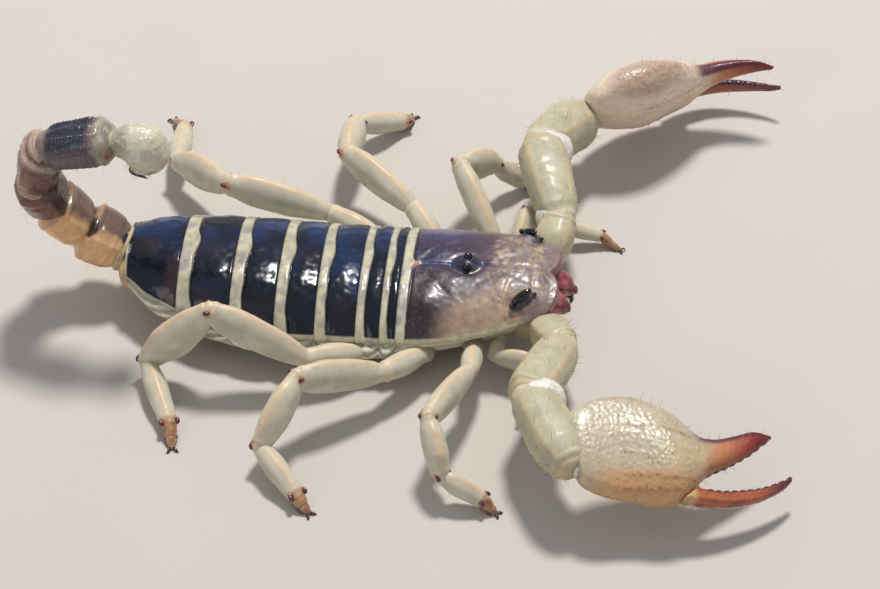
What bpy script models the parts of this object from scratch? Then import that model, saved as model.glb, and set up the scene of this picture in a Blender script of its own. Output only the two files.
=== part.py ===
"""A burrowing scorpion at life size, standing on its eight feet with its tail arched over its back.

The animal faces +X, its left side is towards +Y, and the floor is at Z = 0. Sizes are in millimetres
until a mesh is made. The trunk is a row of plates over a soft body, both read from one table of
cross-sections. Each limb and the tail is a chain of joint points, worked out from segment lengths,
compass bearings and joint heights, and each segment is a closed loft of oval sections between two cut
planes that halve the bend at its joints.
"""

import math

import bmesh
import bpy
from mathutils import Vector

MM = 0.001
GAP = 0.3  # clear space between neighbouring pieces

# Trunk: x, half width, height of the back, height of the side edge, height of the belly.
TRUNK = (
    (-27.6, 3.9, 7.3, 5.3, 3.3),
    (-25.0, 5.4, 7.6, 5.0, 2.5),
    (-22.0, 6.6, 7.9, 4.7, 1.9),
    (-17.0, 7.7, 8.1, 4.4, 1.4),
    (-12.0, 8.1, 8.1, 4.2, 1.2),
    (-6.0, 8.0, 8.0, 4.3, 1.4),
    (0.0, 8.1, 7.9, 4.5, 1.7),
    (4.0, 8.0, 8.2, 4.9, 1.8),
    (7.0, 7.5, 8.4, 5.4, 2.0),
    (10.0, 6.6, 8.5, 6.2, 2.4),
    (12.5, 5.5, 8.5, 6.9, 3.0),
    (14.6, 4.0, 8.1, 7.3, 3.8),
)
TAILWARD_BEND = 0.0038  # sideways bend of the rear trunk, per mm, behind BEND_START
BEND_START = -8.0
DOME_POWER = 2.4  # how flat the back is across
DOME_DROP = 0.75

TERGITE_EDGES = (-0.4, -1.9, -4.4, -8.3, -12.3, -16.7, -22.0, -27.6)
PLATE_THICK = 0.7
CARAPACE_REAR = -0.1
CARAPACE_FRONT = 14.5
LOBE_REACH = 0.8  # how far the two front lobes pass the notch between them
PLATE_ACROSS = 12  # cells across a back plate
LONG_PLATE = 3.0  # a plate longer than this has three cells along it, a shorter one two
CARAPACE_ALONG = 8  # cells along the carapace
CARAPACE_CROWDING = 0.9  # below 1 the cells get shorter towards the front

# The soft body under the plates.
BODY_UNDER_PLATE = PLATE_THICK + 0.4
BODY_ACROSS = 8  # cells under a plate
RIM_DROP = 0.35  # how far its shoulder lies under the side edge of the plates
LEAST_ARCH = 0.3
LEAST_HALF = 0.8
# Down each flank: how far the skin tucks in from its widest place, and the share of the way down.
FLANK_STEPS = ((0.0, 0.30), (0.2, 0.55), (1.5, 0.86), (3.2, 1.0))
ABDOMEN_AT = (-27.6, -26.0, -23.0, -19.0, -14.0, -9.0, -4.0, -0.15)
ABDOMEN_INSET = 1.2  # how much narrower the soft body is than the plates over it
PROSOMA_AT = (0.15, 3.0, 6.0, 9.0, 11.0, 12.5)
PROSOMA_INSET = 1.8
# How far the soft flank stands out past the plates, or lies inside them where the hips need room.
FLANK = ((-27.6, 0.0), (-24.0, 0.3), (-12.0, 0.3), (-9.0, -0.3), (-6.0, -1.7), (0.0, -2.2), (13.0, -2.4))

MEDIAN_EYE = (6.1, 0.75, 0.42)  # x, distance from the middle, radius
LATERAL_EYE = (11.7, 4.9, 1.2, 0.55)  # x, distance from the middle, half length, half width
EYE_CLEARANCE = 0.2
DOME_PROFILE = ((0.0, 1.0), (0.45, 0.88), (0.85, 0.5), (0.98, 0.15))  # height and width of an eye's rings
SMALL_STEP = 0.2  # for finding the slope of the back

# Chelicera sections: x, height of its middle, half width, half height.
CHELICERA = (
    (13.9, 5.2, 0.75, 0.8),
    (14.8, 5.3, 0.95, 1.1),
    (15.6, 5.5, 1.1, 1.45),
    (16.4, 5.4, 1.0, 1.25),
    (17.0, 4.9, 0.6, 0.7),
)
CHELICERA_SPREAD = 1.4
CHELICERA_BACK = {"right": 1.1, "left": 0.5}  # the right jaw is drawn back under the shield

PECTEN_ROOT = (1.0, 1.2)
PECTEN_TIP = (-3.8, 5.2)
PECTEN_HEIGHT = 0.85
PECTEN_STATIONS = ((0.0, 0.5, 0.3), (0.4, 0.7, 0.3), (1.0, 0.35, 0.25))

# Legs, first to fourth pair: hip (x, distance from the middle, height) and segment lengths for
# femur, patella, tibia and foot.
HIPS = {1: (9.9, 5.4, 3.5), 2: (7.5, 6.9, 3.6), 3: (2.6, 7.7, 3.2), 4: (-3.4, 8.0, 3.2)}
LEG_LENGTHS = {
    1: (4.5, 4.8, 3.8, 2.3),
    2: (9.3, 5.6, 4.6, 1.7),
    3: (9.3, 7.4, 6.3, 1.9),
    4: (10.7, 9.2, 7.9, 2.4),
}
# Pose of each leg: how far its trochanter reaches from the hip, then for each segment from the
# trochanter out its compass bearing in degrees from +X towards +Y and the height it ends at.
LEG_POSES = {
    ("right", 1): (2.0, (253, 3.2), (352, 3.2), (258, 2.2), (322, 1.1), (310, 0.15)),
    ("left", 1): (2.0, (75, 3.8), (82, 4.9), (12, 2.3), (5, 1.1), (337, 0.15)),
    ("right", 2): (4.6, (269, 5.0), (250, 6.9), (293, 3.3), (349, 1.2), (337, 0.15)),
    ("left", 2): (1.4, (60, 3.4), (121, 7.4), (45, 4.6), (25, 1.1), (32, 0.15)),
    ("right", 3): (5.4, (228, 4.2), (209, 7.0), (241, 2.8), (312, 1.2), (318, 0.15)),
    ("left", 3): (5.3, (127, 4.3), (143, 5.9), (88, 3.6), (40, 1.0), (64, 0.15)),
    ("right", 4): (5.8, (204, 4.0), (177, 9.1), (186, 2.3), (294, 1.2), (284, 0.15)),
    ("left", 4): (5.8, (157, 4.2), (175, 6.3), (136, 3.3), (93, 1.0), (126, 0.15)),
}
# Leg sections: place along the piece, half thickness and half height, scaled by LEG_GIRTH.
FEMUR_STATIONS = ((0.0, 0.9, 0.95), (0.25, 1.2, 1.65), (0.7, 1.25, 1.85), (1.0, 0.9, 1.15))
TROCHANTER_STATIONS = ((0.0, 0.85, 0.85), (0.5, 1.2, 1.3), (1.0, 0.95, 1.05))
PATELLA_STATIONS = ((0.0, 0.9, 1.15), (0.28, 1.25, 1.8), (0.62, 1.3, 2.0), (1.0, 0.85, 1.05))
TIBIA_STATIONS = ((0.0, 0.85, 0.95), (0.4, 1.15, 1.25), (1.0, 0.85, 0.9))
FOOT_STATIONS = ((0.0, 0.75, 0.8), (0.6, 0.55, 0.65), (0.85, 0.42, 0.5), (1.0, 0.3, 0.35))
LEG_GIRTH = {1: 0.66, 2: 0.9, 3: 1.0, 4: 1.0}

# Pedipalps: hip, lengths of trochanter, femur, patella and hand, and the pose as for the legs.
PALP_HIP = (13.6, 4.2, 4.8)
PALP_LENGTHS = (5.3, 9.1, 9.5, 11.4)
PALP_POSES = {
    "right": ((300, 6.4), (254, 8.2), (300, 7.5), (10, 5.2)),
    "left": ((79, 6.8), (108, 8.6), (63, 5.7), (32, 4.9)),
}
PALP_STATIONS = {
    "trochanter": ((0.0, 1.3, 1.4), (0.5, 1.9, 2.0), (1.0, 1.5, 1.6)),
    "femur": ((0.0, 1.5, 1.6), (0.3, 2.3, 2.1), (0.75, 2.5, 2.2), (1.0, 1.7, 1.7)),
    "patella": ((0.0, 1.7, 1.7), (0.3, 2.4, 2.4), (0.75, 2.5, 2.4), (1.0, 1.2, 1.3)),
}
PALP_COLUMNS = 10  # points round each section
PALP_POWER = 2.4  # above 2 a section is squarer than an oval
HAND_ROLL = {"right": 26.0, "left": 66.0}  # degrees the broad side is turned up from lying flat
FINGER_OUT = 0.7  # how far the movable finger lies outside the plane of the hand
FINGER_CURL = {"right": (9.0, 0.007), "left": (12.8, 0.05)}  # where the curl inwards starts, and how sharp

# Hand outline in its own plane, along the hand and towards the fixed finger: the lower point, the
# upper point and the half thickness of each section.
HAND_SECTIONS = (
    ((0.5, -0.9), (1.1, 1.0), 0.9),
    ((1.2, -1.8), (1.6, 3.0), 1.4),
    ((2.1, -2.3), (1.4, 4.9), 1.7),
    ((3.4, -2.6), (1.8, 6.1), 2.0),
    ((4.9, -2.8), (2.5, 7.0), 2.2),
    ((6.8, -3.0), (5.2, 7.4), 2.45),
    ((8.6, -3.1), (8.0, 6.8), 2.65),
    ((9.9, -2.8), (9.9, 5.8), 2.55),
    ((10.8, -2.3), (11.4, 4.7), 2.25),
    ((11.8, -1.2), (12.4, 4.0), 1.75),
    ((13.0, 0.3), (13.9, 3.9), 1.3),
    ((15.1, 1.5), (15.7, 4.4), 0.95),
    ((17.2, 2.9), (17.7, 5.1), 0.6),
    ((18.9, 4.4), (19.3, 4.95), 0.28),
)
FINGER_SECTIONS = (
    ((10.9, -3.0), (12.4, -1.1), 1.1),
    ((12.6, -2.9), (13.6, -1.3), 1.05),
    ((15.2, -2.75), (15.5, -1.15), 0.85),
    ((18.1, -1.85), (18.1, -0.6), 0.65),
    ((20.4, -0.5), (20.2, 0.3), 0.42),
    ((21.4, 0.6), (21.2, 0.9), 0.2),
)

# Tail: joint points from the trunk to the sting, and girth of each of the five segments.
TAIL_POINTS = (
    (-28.3, 1.5, 5.7),
    (-31.9, 2.0, 7.6),
    (-34.9, 1.5, 11.2),
    (-36.0, -0.4, 15.8),
    (-34.7, -1.1, 20.8),
    (-28.2, -1.6, 22.9),
)
TAIL_GIRTH = ((3.0, 2.65), (2.75, 2.45), (2.6, 2.3), (2.55, 2.2), (2.4, 2.15))
TAIL_COLUMNS = 12
TAIL_POWER = 2.8
TAIL_STATIONS = ((0.0, 0.72), (0.25, 0.92), (0.75, 1.0), (1.0, 0.88))

# Telson sections: x, height, radius, and how many degrees the section's way on points down.
TELSON_SIDE = -1.6
VESICLE = (
    (-27.6, 22.9, 1.1, 4),
    (-26.7, 22.95, 1.8, 14),
    (-25.4, 22.5, 2.25, 42),
    (-24.8, 21.1, 2.1, 78),
    (-25.2, 19.9, 1.5, 108),
    (-25.9, 19.3, 0.8, 128),
)
ACULEUS = (
    (-26.25, 19.0, 0.42, 125),
    (-26.3, 18.6, 0.38, 80),
    (-25.8, 18.2, 0.32, 42),
    (-24.95, 17.7, 0.25, 32),
)

CREAM = (0.62, 0.55, 0.38)
COLOURS = {
    "shell": (0.012, 0.014, 0.03),
    "carapace": (0.14, 0.09, 0.09),
    "cream": CREAM,
    "hand": (0.52, 0.40, 0.26),
    "finger": (0.26, 0.06, 0.03),
    "eye": (0.004, 0.004, 0.01),
    "jaw": (0.42, 0.10, 0.08),
    "tail": (0.22, 0.12, 0.08),
    "bulb": (0.58, 0.60, 0.42),
    "sting": (0.05, 0.015, 0.01),
}
PLAIN_ROUGHNESS = 0.4
ROUGHNESS = {"shell": 0.25, "eye": 0.1, "carapace": 0.3}
SIDES = {"right": -1.0, "left": 1.0}


def new_collection(name):
    """Makes an empty collection in the scene."""
    group = bpy.data.collections.new(name)
    bpy.context.scene.collection.children.link(group)
    return group


def paint(thing, kind):
    """Gives an object its own plain cuticle of the kind's colour."""
    cuticle = bpy.data.materials.new(thing.name + "_cuticle")
    cuticle.use_nodes = True
    shader = cuticle.node_tree.nodes["Principled BSDF"]
    shader.inputs["Base Color"].default_value = (*COLOURS[kind], 1.0)
    shader.inputs["Roughness"].default_value = ROUGHNESS.get(kind, PLAIN_ROUGHNESS)
    shader.inputs["Metallic"].default_value = 0.0
    thing.data.materials.append(cuticle)


def finish_object(name, shape, kind):
    """Turns a bmesh in metres into a smooth named object of the scorpion."""
    mesh = bpy.data.meshes.new(name)
    shape.to_mesh(mesh)
    shape.free()
    mesh.shade_smooth()
    mesh.set_sharp_from_angle(angle=math.radians(45))
    thing = bpy.data.objects.new(name, mesh)
    scorpion.objects.link(thing)
    paint(thing, kind)
    return thing


def make_loft(name, rings, kind):
    """Makes one closed solid through rings of equal point counts, with a flat cap at each end."""
    shape = bmesh.new()
    loops = []
    for ring in rings:
        loops.append([shape.verts.new(Vector(p) * MM) for p in ring])
    count = len(loops[0])
    for near, far in zip(loops[:-1], loops[1:]):
        for i in range(count):
            k = (i + 1) % count
            shape.faces.new((near[i], near[k], far[k], far[i]))
    shape.faces.new(list(reversed(loops[0])))
    shape.faces.new(loops[-1])
    bmesh.ops.recalc_face_normals(shape, faces=shape.faces)
    return finish_object(name, shape, kind)


def make_plate(name, rows, kind):
    """Makes a shell plate: an open surface through the rows, thickened inwards."""
    shape = bmesh.new()
    grid = [[shape.verts.new(Vector(p) * MM) for p in row] for row in rows]
    for near, far in zip(grid[:-1], grid[1:]):
        for i in range(len(near) - 1):
            shape.faces.new((near[i], far[i], far[i + 1], near[i + 1]))
    plate = finish_object(name, shape, kind)
    wall = plate.modifiers.new("thickness", "SOLIDIFY")
    wall.thickness = PLATE_THICK * MM
    wall.offset = -1.0
    wall.use_even_offset = True
    return plate


def blend_table(table, x):
    """Reads a table of rows sorted by their first value, with a smooth curve through its rows."""
    last = len(table) - 1
    if x <= table[0][0]:
        return table[0][1:]
    if x >= table[last][0]:
        return table[last][1:]
    i = next(k for k in range(last) if x <= table[k + 1][0])
    t = (x - table[i][0]) / (table[i + 1][0] - table[i][0])
    rows = [table[max(i - 1, 0)], table[i], table[i + 1], table[min(i + 2, last)]]
    values = []
    for a, b, c, d in zip(*(row[1:] for row in rows)):
        bend = (2 * a - 5 * b + 4 * c - d) * t + (3 * b - a - 3 * c + d) * t * t
        values.append(b + 0.5 * t * (c - a + bend))
    return values


def spine(x):
    """The sideways place of the middle line at x."""
    behind = max(0.0, BEND_START - x)
    return TAILWARD_BEND * behind * behind


def arch(v):
    """How much of its full height a domed section has at v, from -1 on its right edge to 1."""
    return (1.0 - abs(v) ** DOME_POWER) ** DOME_DROP


def back_point(x, v):
    """A point on the back at x, and at v across it."""
    half, top, edge, _ = blend_table(TRUNK, x)
    return (x, spine(x) + half * v, edge + (top - edge) * arch(v))


def across_places():
    """Places across a plate, closer together towards its edges, where it curves most."""
    steps = range(PLATE_ACROSS + 1)
    return [math.sin(math.radians(-90 + 180 * k / PLATE_ACROSS)) for k in steps]


def trunk_ring(x, inset):
    """One section of the soft body: under the plates above, bulging or narrow at the flank."""
    half, top, edge, belly = blend_table(TRUNK, x)
    out = blend_table(FLANK, x)[0]
    rim = edge - RIM_DROP
    crown = max(top - BODY_UNDER_PLATE, rim + LEAST_ARCH)
    ring = []
    for k in range(BODY_ACROSS + 1):
        v = -1.0 + 2.0 * k / BODY_ACROSS
        ring.append((x, spine(x) + (half - inset) * v, rim + (crown - rim) * arch(v)))
    flank = []
    for tuck, down in FLANK_STEPS:
        flank.append((max(half + out - tuck, LEAST_HALF), rim + (belly - rim) * down))
    ring += [(x, spine(x) + wide, height) for wide, height in flank]
    ring.append((x, spine(x), belly))
    ring += [(x, spine(x) - wide, height) for wide, height in reversed(flank)]
    return ring


def oval(centre, across, up, half_across, half_up, count=8, power=2.0):
    """A ring of points on an oval, or on a squarer one for a higher power."""
    ring = []
    for k in range(count):
        turn = 2 * math.pi * (k + 0.5) / count
        c, s = math.cos(turn), math.sin(turn)
        a = math.copysign(abs(c) ** (2 / power), c) * half_across
        u = math.copysign(abs(s) ** (2 / power), s) * half_up
        ring.append(Vector(centre) + Vector(across) * a + Vector(up) * u)
    return ring


def axes_for(direction, sideways=None):
    """The two directions across a segment: level to its side, or near a given one, and upwards."""
    across = direction.cross(Vector((0, 0, 1))) if sideways is None else Vector(sideways)
    across = (across - direction * across.dot(direction)).normalized()
    return across, across.cross(direction).normalized()


def chain_points(hip, lengths, pose, sign):
    """Joint points of a limb from its hip, by each segment's length, bearing and end height."""
    points = [Vector((hip[0], sign * hip[1], hip[2]))]
    for length, (bearing, height) in zip(lengths, pose):
        rise = height - points[-1].z
        run = math.sqrt(length * length - rise * rise)
        turn = math.radians(bearing)
        points.append(points[-1] + Vector((run * math.cos(turn), run * math.sin(turn), rise)))
    return points


def cut_normals(points):
    """The direction of each joint's cut plane, halfway between the segments that meet there."""
    ways = [(b - a).normalized() for a, b in zip(points[:-1], points[1:])]
    inner = [(a + b).normalized() for a, b in zip(ways[:-1], ways[1:])]
    return [ways[0], *inner, ways[-1]]


def onto_plane(ring, direction, place, normal):
    """Slides the points of a ring along the segment until they lie in a cut plane."""
    reach = direction.dot(normal)
    return [p + direction * ((place - p).dot(normal) / reach) for p in ring]


def segment_rings(points, index, stations, count=8, power=2.0, sideways=None):
    """Sections of one segment of a chain, cut at both ends by its joints' planes."""
    start, end = points[index], points[index + 1]
    normals = cut_normals(points)
    direction = (end - start).normalized()
    across, up = axes_for(direction, sideways)
    rings = []
    for place, half_across, half_up in stations:
        ring = oval(start.lerp(end, place), across, up, half_across, half_up, count, power)
        if place == 0.0:
            cut = start + normals[index] * (GAP / 2)
            ring = onto_plane(ring, direction, cut, normals[index])
        if place == 1.0:
            cut = end - normals[index + 1] * (GAP / 2)
            ring = onto_plane(ring, direction, cut, normals[index + 1])
        rings.append(ring)
    return rings


def joined_rings(points, first, parts, count=8):
    """Sections through several segments that are one piece, with no cut between them."""
    normals = cut_normals(points)
    rings = []
    for k, stations in enumerate(parts):
        part = segment_rings(points, first + k, stations, count)
        if k > 0:
            part = part[1:]
        if k + 1 < len(parts):
            way = (points[first + k + 1] - points[first + k]).normalized()
            part[-1] = onto_plane(part[-1], way, points[first + k + 1], normals[first + k + 1])
        rings += part
    return rings


def scaled(stations, girth):
    """The same stations with thinner or thicker sections."""
    return [(place, a * girth, b * girth) for place, a, b in stations]


def on_the_floor(rings):
    """Flattens whatever would pass below the floor, which gives a foot its small flat sole."""
    return [[Vector((p[0], p[1], max(p[2], 0.0))) for p in ring] for ring in rings]


def build_trunk():
    """The carapace, the seven back plates and the two soft solids under them."""
    rows = []
    for k in range(CARAPACE_ALONG + 1):
        row = []
        for v in across_places():
            lobe = LOBE_REACH * (1.0 - (2.0 * abs(v) - 1.0) ** 2)
            reach = CARAPACE_FRONT + lobe - CARAPACE_REAR
            share = (k / CARAPACE_ALONG) ** CARAPACE_CROWDING
            row.append(back_point(CARAPACE_REAR + reach * share, v))
        rows.append(row)
    make_plate("carapace", rows, "carapace")
    for number, (front, rear) in enumerate(zip(TERGITE_EDGES[:-1], TERGITE_EDGES[1:]), start=1):
        steps = 2 if front - rear < LONG_PLATE else 3
        span = rear + GAP - front
        xs = [front + span * k / steps for k in range(steps, -1, -1)]
        rows = [[back_point(x, v) for v in across_places()] for x in xs]
        make_plate(f"tergite_{number}", rows, "shell")
    make_loft("abdomen", [trunk_ring(x, ABDOMEN_INSET) for x in ABDOMEN_AT], "cream")
    make_loft("prosoma_underside", [trunk_ring(x, PROSOMA_INSET) for x in PROSOMA_AT], "cream")


def build_dome(name, x, y, half_along, half_across, kind):
    """A low dome that stands just clear of the back and square to it, such as an eye."""
    half = blend_table(TRUNK, x)[0]
    here = Vector(back_point(x, y / half))
    along = (Vector(back_point(x + SMALL_STEP, y / half)) - here).normalized()
    across = (Vector(back_point(x, (y + SMALL_STEP) / half)) - here).normalized()
    out = along.cross(across).normalized()
    rings = []
    for rise, share in DOME_PROFILE:
        centre = here + out * (EYE_CLEARANCE + rise * half_across)
        rings.append(oval(centre, along, across, half_along * share, half_across * share, 8))
    make_loft(name, rings, kind)


def build_head():
    """The eyes, the jaws and the two combs under the body."""
    for side, sign in SIDES.items():
        x, out, radius = MEDIAN_EYE
        build_dome(f"median_eye_{side}", x, sign * out, radius, radius, "eye")
        x, out, half_x, half_y = LATERAL_EYE
        build_dome(f"lateral_eyes_{side}", x, sign * out, half_x, half_y, "eye")
        rings = []
        for x, height, half_across, half_up in CHELICERA:
            centre = (x - CHELICERA_BACK[side], sign * CHELICERA_SPREAD, height)
            rings.append(oval(centre, (0, 1, 0), (0, 0, 1), half_across, half_up, 10))
        make_loft(f"chelicera_{side}", rings, "jaw")
        root = Vector((PECTEN_ROOT[0], sign * PECTEN_ROOT[1], PECTEN_HEIGHT))
        tip = Vector((PECTEN_TIP[0], sign * PECTEN_TIP[1], PECTEN_HEIGHT))
        make_loft(f"pectine_{side}", segment_rings([root, tip], 0, PECTEN_STATIONS), "cream")


def build_leg(side, number):
    """One leg in three pieces: trochanter with femur, patella, and tibia with foot."""
    girth = LEG_GIRTH[number]
    reach, *pose = LEG_POSES[(side, number)]
    lengths = (reach, *LEG_LENGTHS[number])
    points = chain_points(HIPS[number], lengths, pose, SIDES[side])
    upper = (scaled(TROCHANTER_STATIONS, girth), scaled(FEMUR_STATIONS, girth))
    make_loft(f"leg_{side}_{number}_femur", joined_rings(points, 0, upper), "cream")
    patella = segment_rings(points, 2, scaled(PATELLA_STATIONS, girth))
    make_loft(f"leg_{side}_{number}_patella", patella, "cream")
    lower = (scaled(TIBIA_STATIONS, girth), scaled(FOOT_STATIONS, girth))
    rings = on_the_floor(joined_rings(points, 3, lower))
    make_loft(f"leg_{side}_{number}_foot", rings, "cream")


def hand_ring(origin, ways, curl, low, high, half_thick, count=12):
    """One section of a hand or finger through its lower and upper outline points."""
    along, to_finger, inwards = ways
    ends = []
    for reach, rise in (low, high):
        bent = curl[1] * max(0.0, reach - curl[0]) ** 2
        ends.append(origin + along * reach + to_finger * rise + inwards * bent)
    bottom, top = ends
    return oval((bottom + top) / 2, (top - bottom) / 2, inwards, 1.0, half_thick, count)


def build_pedipalp(side):
    """One pedipalp: trochanter, femur, patella, hand with its fixed finger, and movable finger."""
    sign = SIDES[side]
    points = chain_points(PALP_HIP, PALP_LENGTHS, PALP_POSES[side], sign)
    for index, (part, stations) in enumerate(PALP_STATIONS.items()):
        rings = segment_rings(points, index, stations, PALP_COLUMNS, PALP_POWER)
        make_loft(f"pedipalp_{side}_{part}", rings, "cream")
    wrist = points[3]
    along = (points[4] - wrist).normalized()
    level, up = axes_for(along)
    outwards = level if level.y * sign > 0 else -level
    if up.z < 0:
        up = -up
    roll = math.radians(HAND_ROLL[side])
    to_finger = up * math.sin(roll) - outwards * math.cos(roll)
    inwards = along.cross(to_finger).normalized() * sign
    ways = (along, to_finger, inwards)
    hand = [hand_ring(wrist, ways, FINGER_CURL[side], *row) for row in HAND_SECTIONS]
    make_loft(f"pedipalp_{side}_hand", hand, "hand")
    root = wrist - inwards * FINGER_OUT
    finger = [hand_ring(root, ways, FINGER_CURL[side], *row, 8) for row in FINGER_SECTIONS]
    make_loft(f"pedipalp_{side}_movable_finger", finger, "finger")


def tilted_rings(stops, count):
    """Round sections of the telson, each square to its own way on."""
    rings = []
    for x, height, radius, pitch in stops:
        turn = math.radians(pitch)
        way = Vector((math.cos(turn), 0.0, -math.sin(turn)))
        across, up = axes_for(way, (0, 1, 0))
        rings.append(oval((x, TELSON_SIDE, height), across, up, radius, radius, count))
    return rings


def build_tail():
    """The five tail segments, the venom bulb and the sting."""
    points = [Vector(p) for p in TAIL_POINTS]
    for number, (half_across, half_up) in enumerate(TAIL_GIRTH, start=1):
        stations = [(place, half_across * s, half_up * s) for place, s in TAIL_STATIONS]
        rings = segment_rings(points, number - 1, stations, TAIL_COLUMNS, TAIL_POWER, (0, 1, 0))
        make_loft(f"metasoma_{number}", rings, "tail")
    make_loft("telson_vesicle", tilted_rings(VESICLE, 12), "bulb")
    make_loft("telson_aculeus", tilted_rings(ACULEUS, 8), "sting")


def centre_on_origin():
    """Parents every piece to one empty that brings the middle of the whole box over the origin."""
    bpy.context.view_layer.update()
    graph = bpy.context.evaluated_depsgraph_get()
    corners = []
    for thing in scorpion.objects:
        mesh = thing.evaluated_get(graph).to_mesh()
        corners += [v.co.copy() for v in mesh.vertices]
    middle = [(min(c[i] for c in corners) + max(c[i] for c in corners)) / 2 for i in (0, 1)]
    stand = bpy.data.objects.new("scorpion_origin", None)
    stand.location = (-middle[0], -middle[1], 0.0)
    for thing in list(scorpion.objects):
        thing.parent = stand
    scorpion.objects.link(stand)
    bpy.context.view_layer.update()


for old in list(bpy.data.objects):
    bpy.data.objects.remove(old, do_unlink=True)
scorpion = new_collection("scorpion")
build_trunk()
build_head()
for leg_side in SIDES:
    build_pedipalp(leg_side)
    for leg_number in HIPS:
        build_leg(leg_side, leg_number)
build_tail()
centre_on_origin()
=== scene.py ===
"""The looks of a burrowing scorpion at life size, standing with its tail arched over its back.

Lengths are in millimetres in the animal's own frame until a mesh is made: +X is forward, +Y is its left,
the floor is at Z = 0 and X = 0 is the rear edge of the head shield. Every surface is a grid of points
worked out with numpy: a profile table read with a smooth curve, carried along a limb or across the back,
and pushed in or out along its normals for keels, furrows, folds and granules.
"""

import logging
import math
from dataclasses import dataclass, field
from enum import Enum
from itertools import product

import bpy
import numpy as np
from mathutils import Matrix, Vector


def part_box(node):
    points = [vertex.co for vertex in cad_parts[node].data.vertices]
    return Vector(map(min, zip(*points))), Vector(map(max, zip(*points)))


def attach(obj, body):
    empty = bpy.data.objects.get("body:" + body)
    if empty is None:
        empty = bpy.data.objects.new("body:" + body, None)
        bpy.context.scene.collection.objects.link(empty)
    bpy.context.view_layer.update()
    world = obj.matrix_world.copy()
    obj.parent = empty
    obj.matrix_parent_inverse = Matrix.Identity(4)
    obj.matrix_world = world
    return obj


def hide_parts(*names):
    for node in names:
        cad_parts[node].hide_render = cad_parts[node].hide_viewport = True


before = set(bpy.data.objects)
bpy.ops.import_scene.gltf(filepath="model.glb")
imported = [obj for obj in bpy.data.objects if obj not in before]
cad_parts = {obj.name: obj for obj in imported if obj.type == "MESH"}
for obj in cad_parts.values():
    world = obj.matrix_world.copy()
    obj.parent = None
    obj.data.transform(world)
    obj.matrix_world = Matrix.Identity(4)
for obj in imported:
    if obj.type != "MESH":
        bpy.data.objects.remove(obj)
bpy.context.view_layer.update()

Array, Material, Thing = np.ndarray, bpy.types.Material, bpy.types.Object
Finishes, Triple = dict[str, Material], tuple[float, float, float]
log = logging.getLogger("scorpion")

MM = 0.001
FORWARD, LEFT, UP = np.eye(3)
SIDES = {"right": -1.0, "left": 1.0}
PLATE_EDGE_DEG = 60.0  # a plate's edges bend more than this, and stay crisp


# --- numbers, curves and noise


def linear(code: str) -> Array:
    """Turns an sRGB hex colour into linear red, green and blue."""
    srgb = np.array([int(code[i : i + 2], 16) for i in (1, 3, 5)]) / 255.0
    return np.where(srgb <= 0.04045, srgb / 12.92, ((srgb + 0.055) / 1.055) ** 2.4)


def ramp(value: Array, start: float, end: float) -> Array:
    """Rises smoothly from 0 at start to 1 at end, as t * t * (3 - 2 t)."""
    t = np.clip((value - start) / (end - start), 0.0, 1.0)
    return t * t * (3.0 - 2.0 * t)


def span(value: Array, start: float, full: float, fade: float, end: float) -> Array:
    """Rises from 0 at start to 1 at full, and falls again from fade to 0 at end."""
    return ramp(value, start, full) * ramp(value, end, fade)


def bell(value: Array, middle: float, width: float) -> Array:
    """A bell curve of height 1, exp(-((value - middle) / width) squared)."""
    return np.exp(-(((value - middle) / width) ** 2))


def rounded(distance: Array, radius: float) -> Array:
    """A quarter-round edge: -radius at distance 0, rising on a circle to 0 at radius."""
    inside = radius - np.clip(distance, 0.0, radius)
    return np.sqrt(np.maximum(radius**2 - inside**2, 0.0)) - radius


def unit(vectors: Array) -> Array:
    """Vectors scaled to length 1."""
    return vectors / np.maximum(np.linalg.norm(vectors, axis=-1, keepdims=True), 1e-12)


def between(a: Array, b: Array, c: Array, d: Array, t: Array) -> Array:
    """The smooth curve from b to c, with a before them and d after, at t from 0 to 1.

    It is b + t/2 * (c - a + t * (2a - 5b + 4c - d + t * (3b - a - 3c + d))).
    """
    return b + 0.5 * t * (c - a + t * (2 * a - 5 * b + 4 * c - d + t * (3 * b - a - 3 * c + d)))


def smooth_table(table: tuple | Array, at: Array) -> Array:
    """Reads a table's other columns at values of its first column, along a smooth curve.

    Args:
        table: rows sorted by their first column.
        at: the places to read.

    Returns:
        The other columns at each place, in a last axis.
    """
    table = np.array(table, float)
    keys, values = table[:, 0], table[:, 1:]
    last = len(keys) - 1
    at = np.clip(at, keys[0], keys[last])
    i = np.clip(np.searchsorted(keys, at, side="right") - 1, 0, last - 1)
    t = ((at - keys[i]) / (keys[i + 1] - keys[i]))[..., None]
    before, after = values[np.maximum(i - 1, 0)], values[np.minimum(i + 2, last)]
    return between(before, values[i], values[i + 1], after, t)


def closed_curve(rings: Array, columns: int) -> Array:
    """Resamples rings of a few points by the same smooth curve, closed on itself.

    Args:
        rings: rows x points x 3.
        columns: points wanted round each ring.

    Returns:
        rows x columns x 3.
    """
    count = rings.shape[1]
    place = np.arange(columns) * count / columns
    i = np.floor(place).astype(int)
    return between(*(rings[:, (i + step) % count] for step in (-1, 0, 1, 2)), (place - i)[None, :, None])


def turns(count: int) -> Array:
    """Angles of points spread evenly round a section."""
    return 2.0 * np.pi * np.arange(count) / count


def spot(x: Array, y: Array, middle: tuple[float, float], widths: tuple[float, float]) -> Array:
    """A round hill of height 1: a bell along times a bell across."""
    return bell(x, middle[0], widths[0]) * bell(y, middle[1], widths[1])


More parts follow.
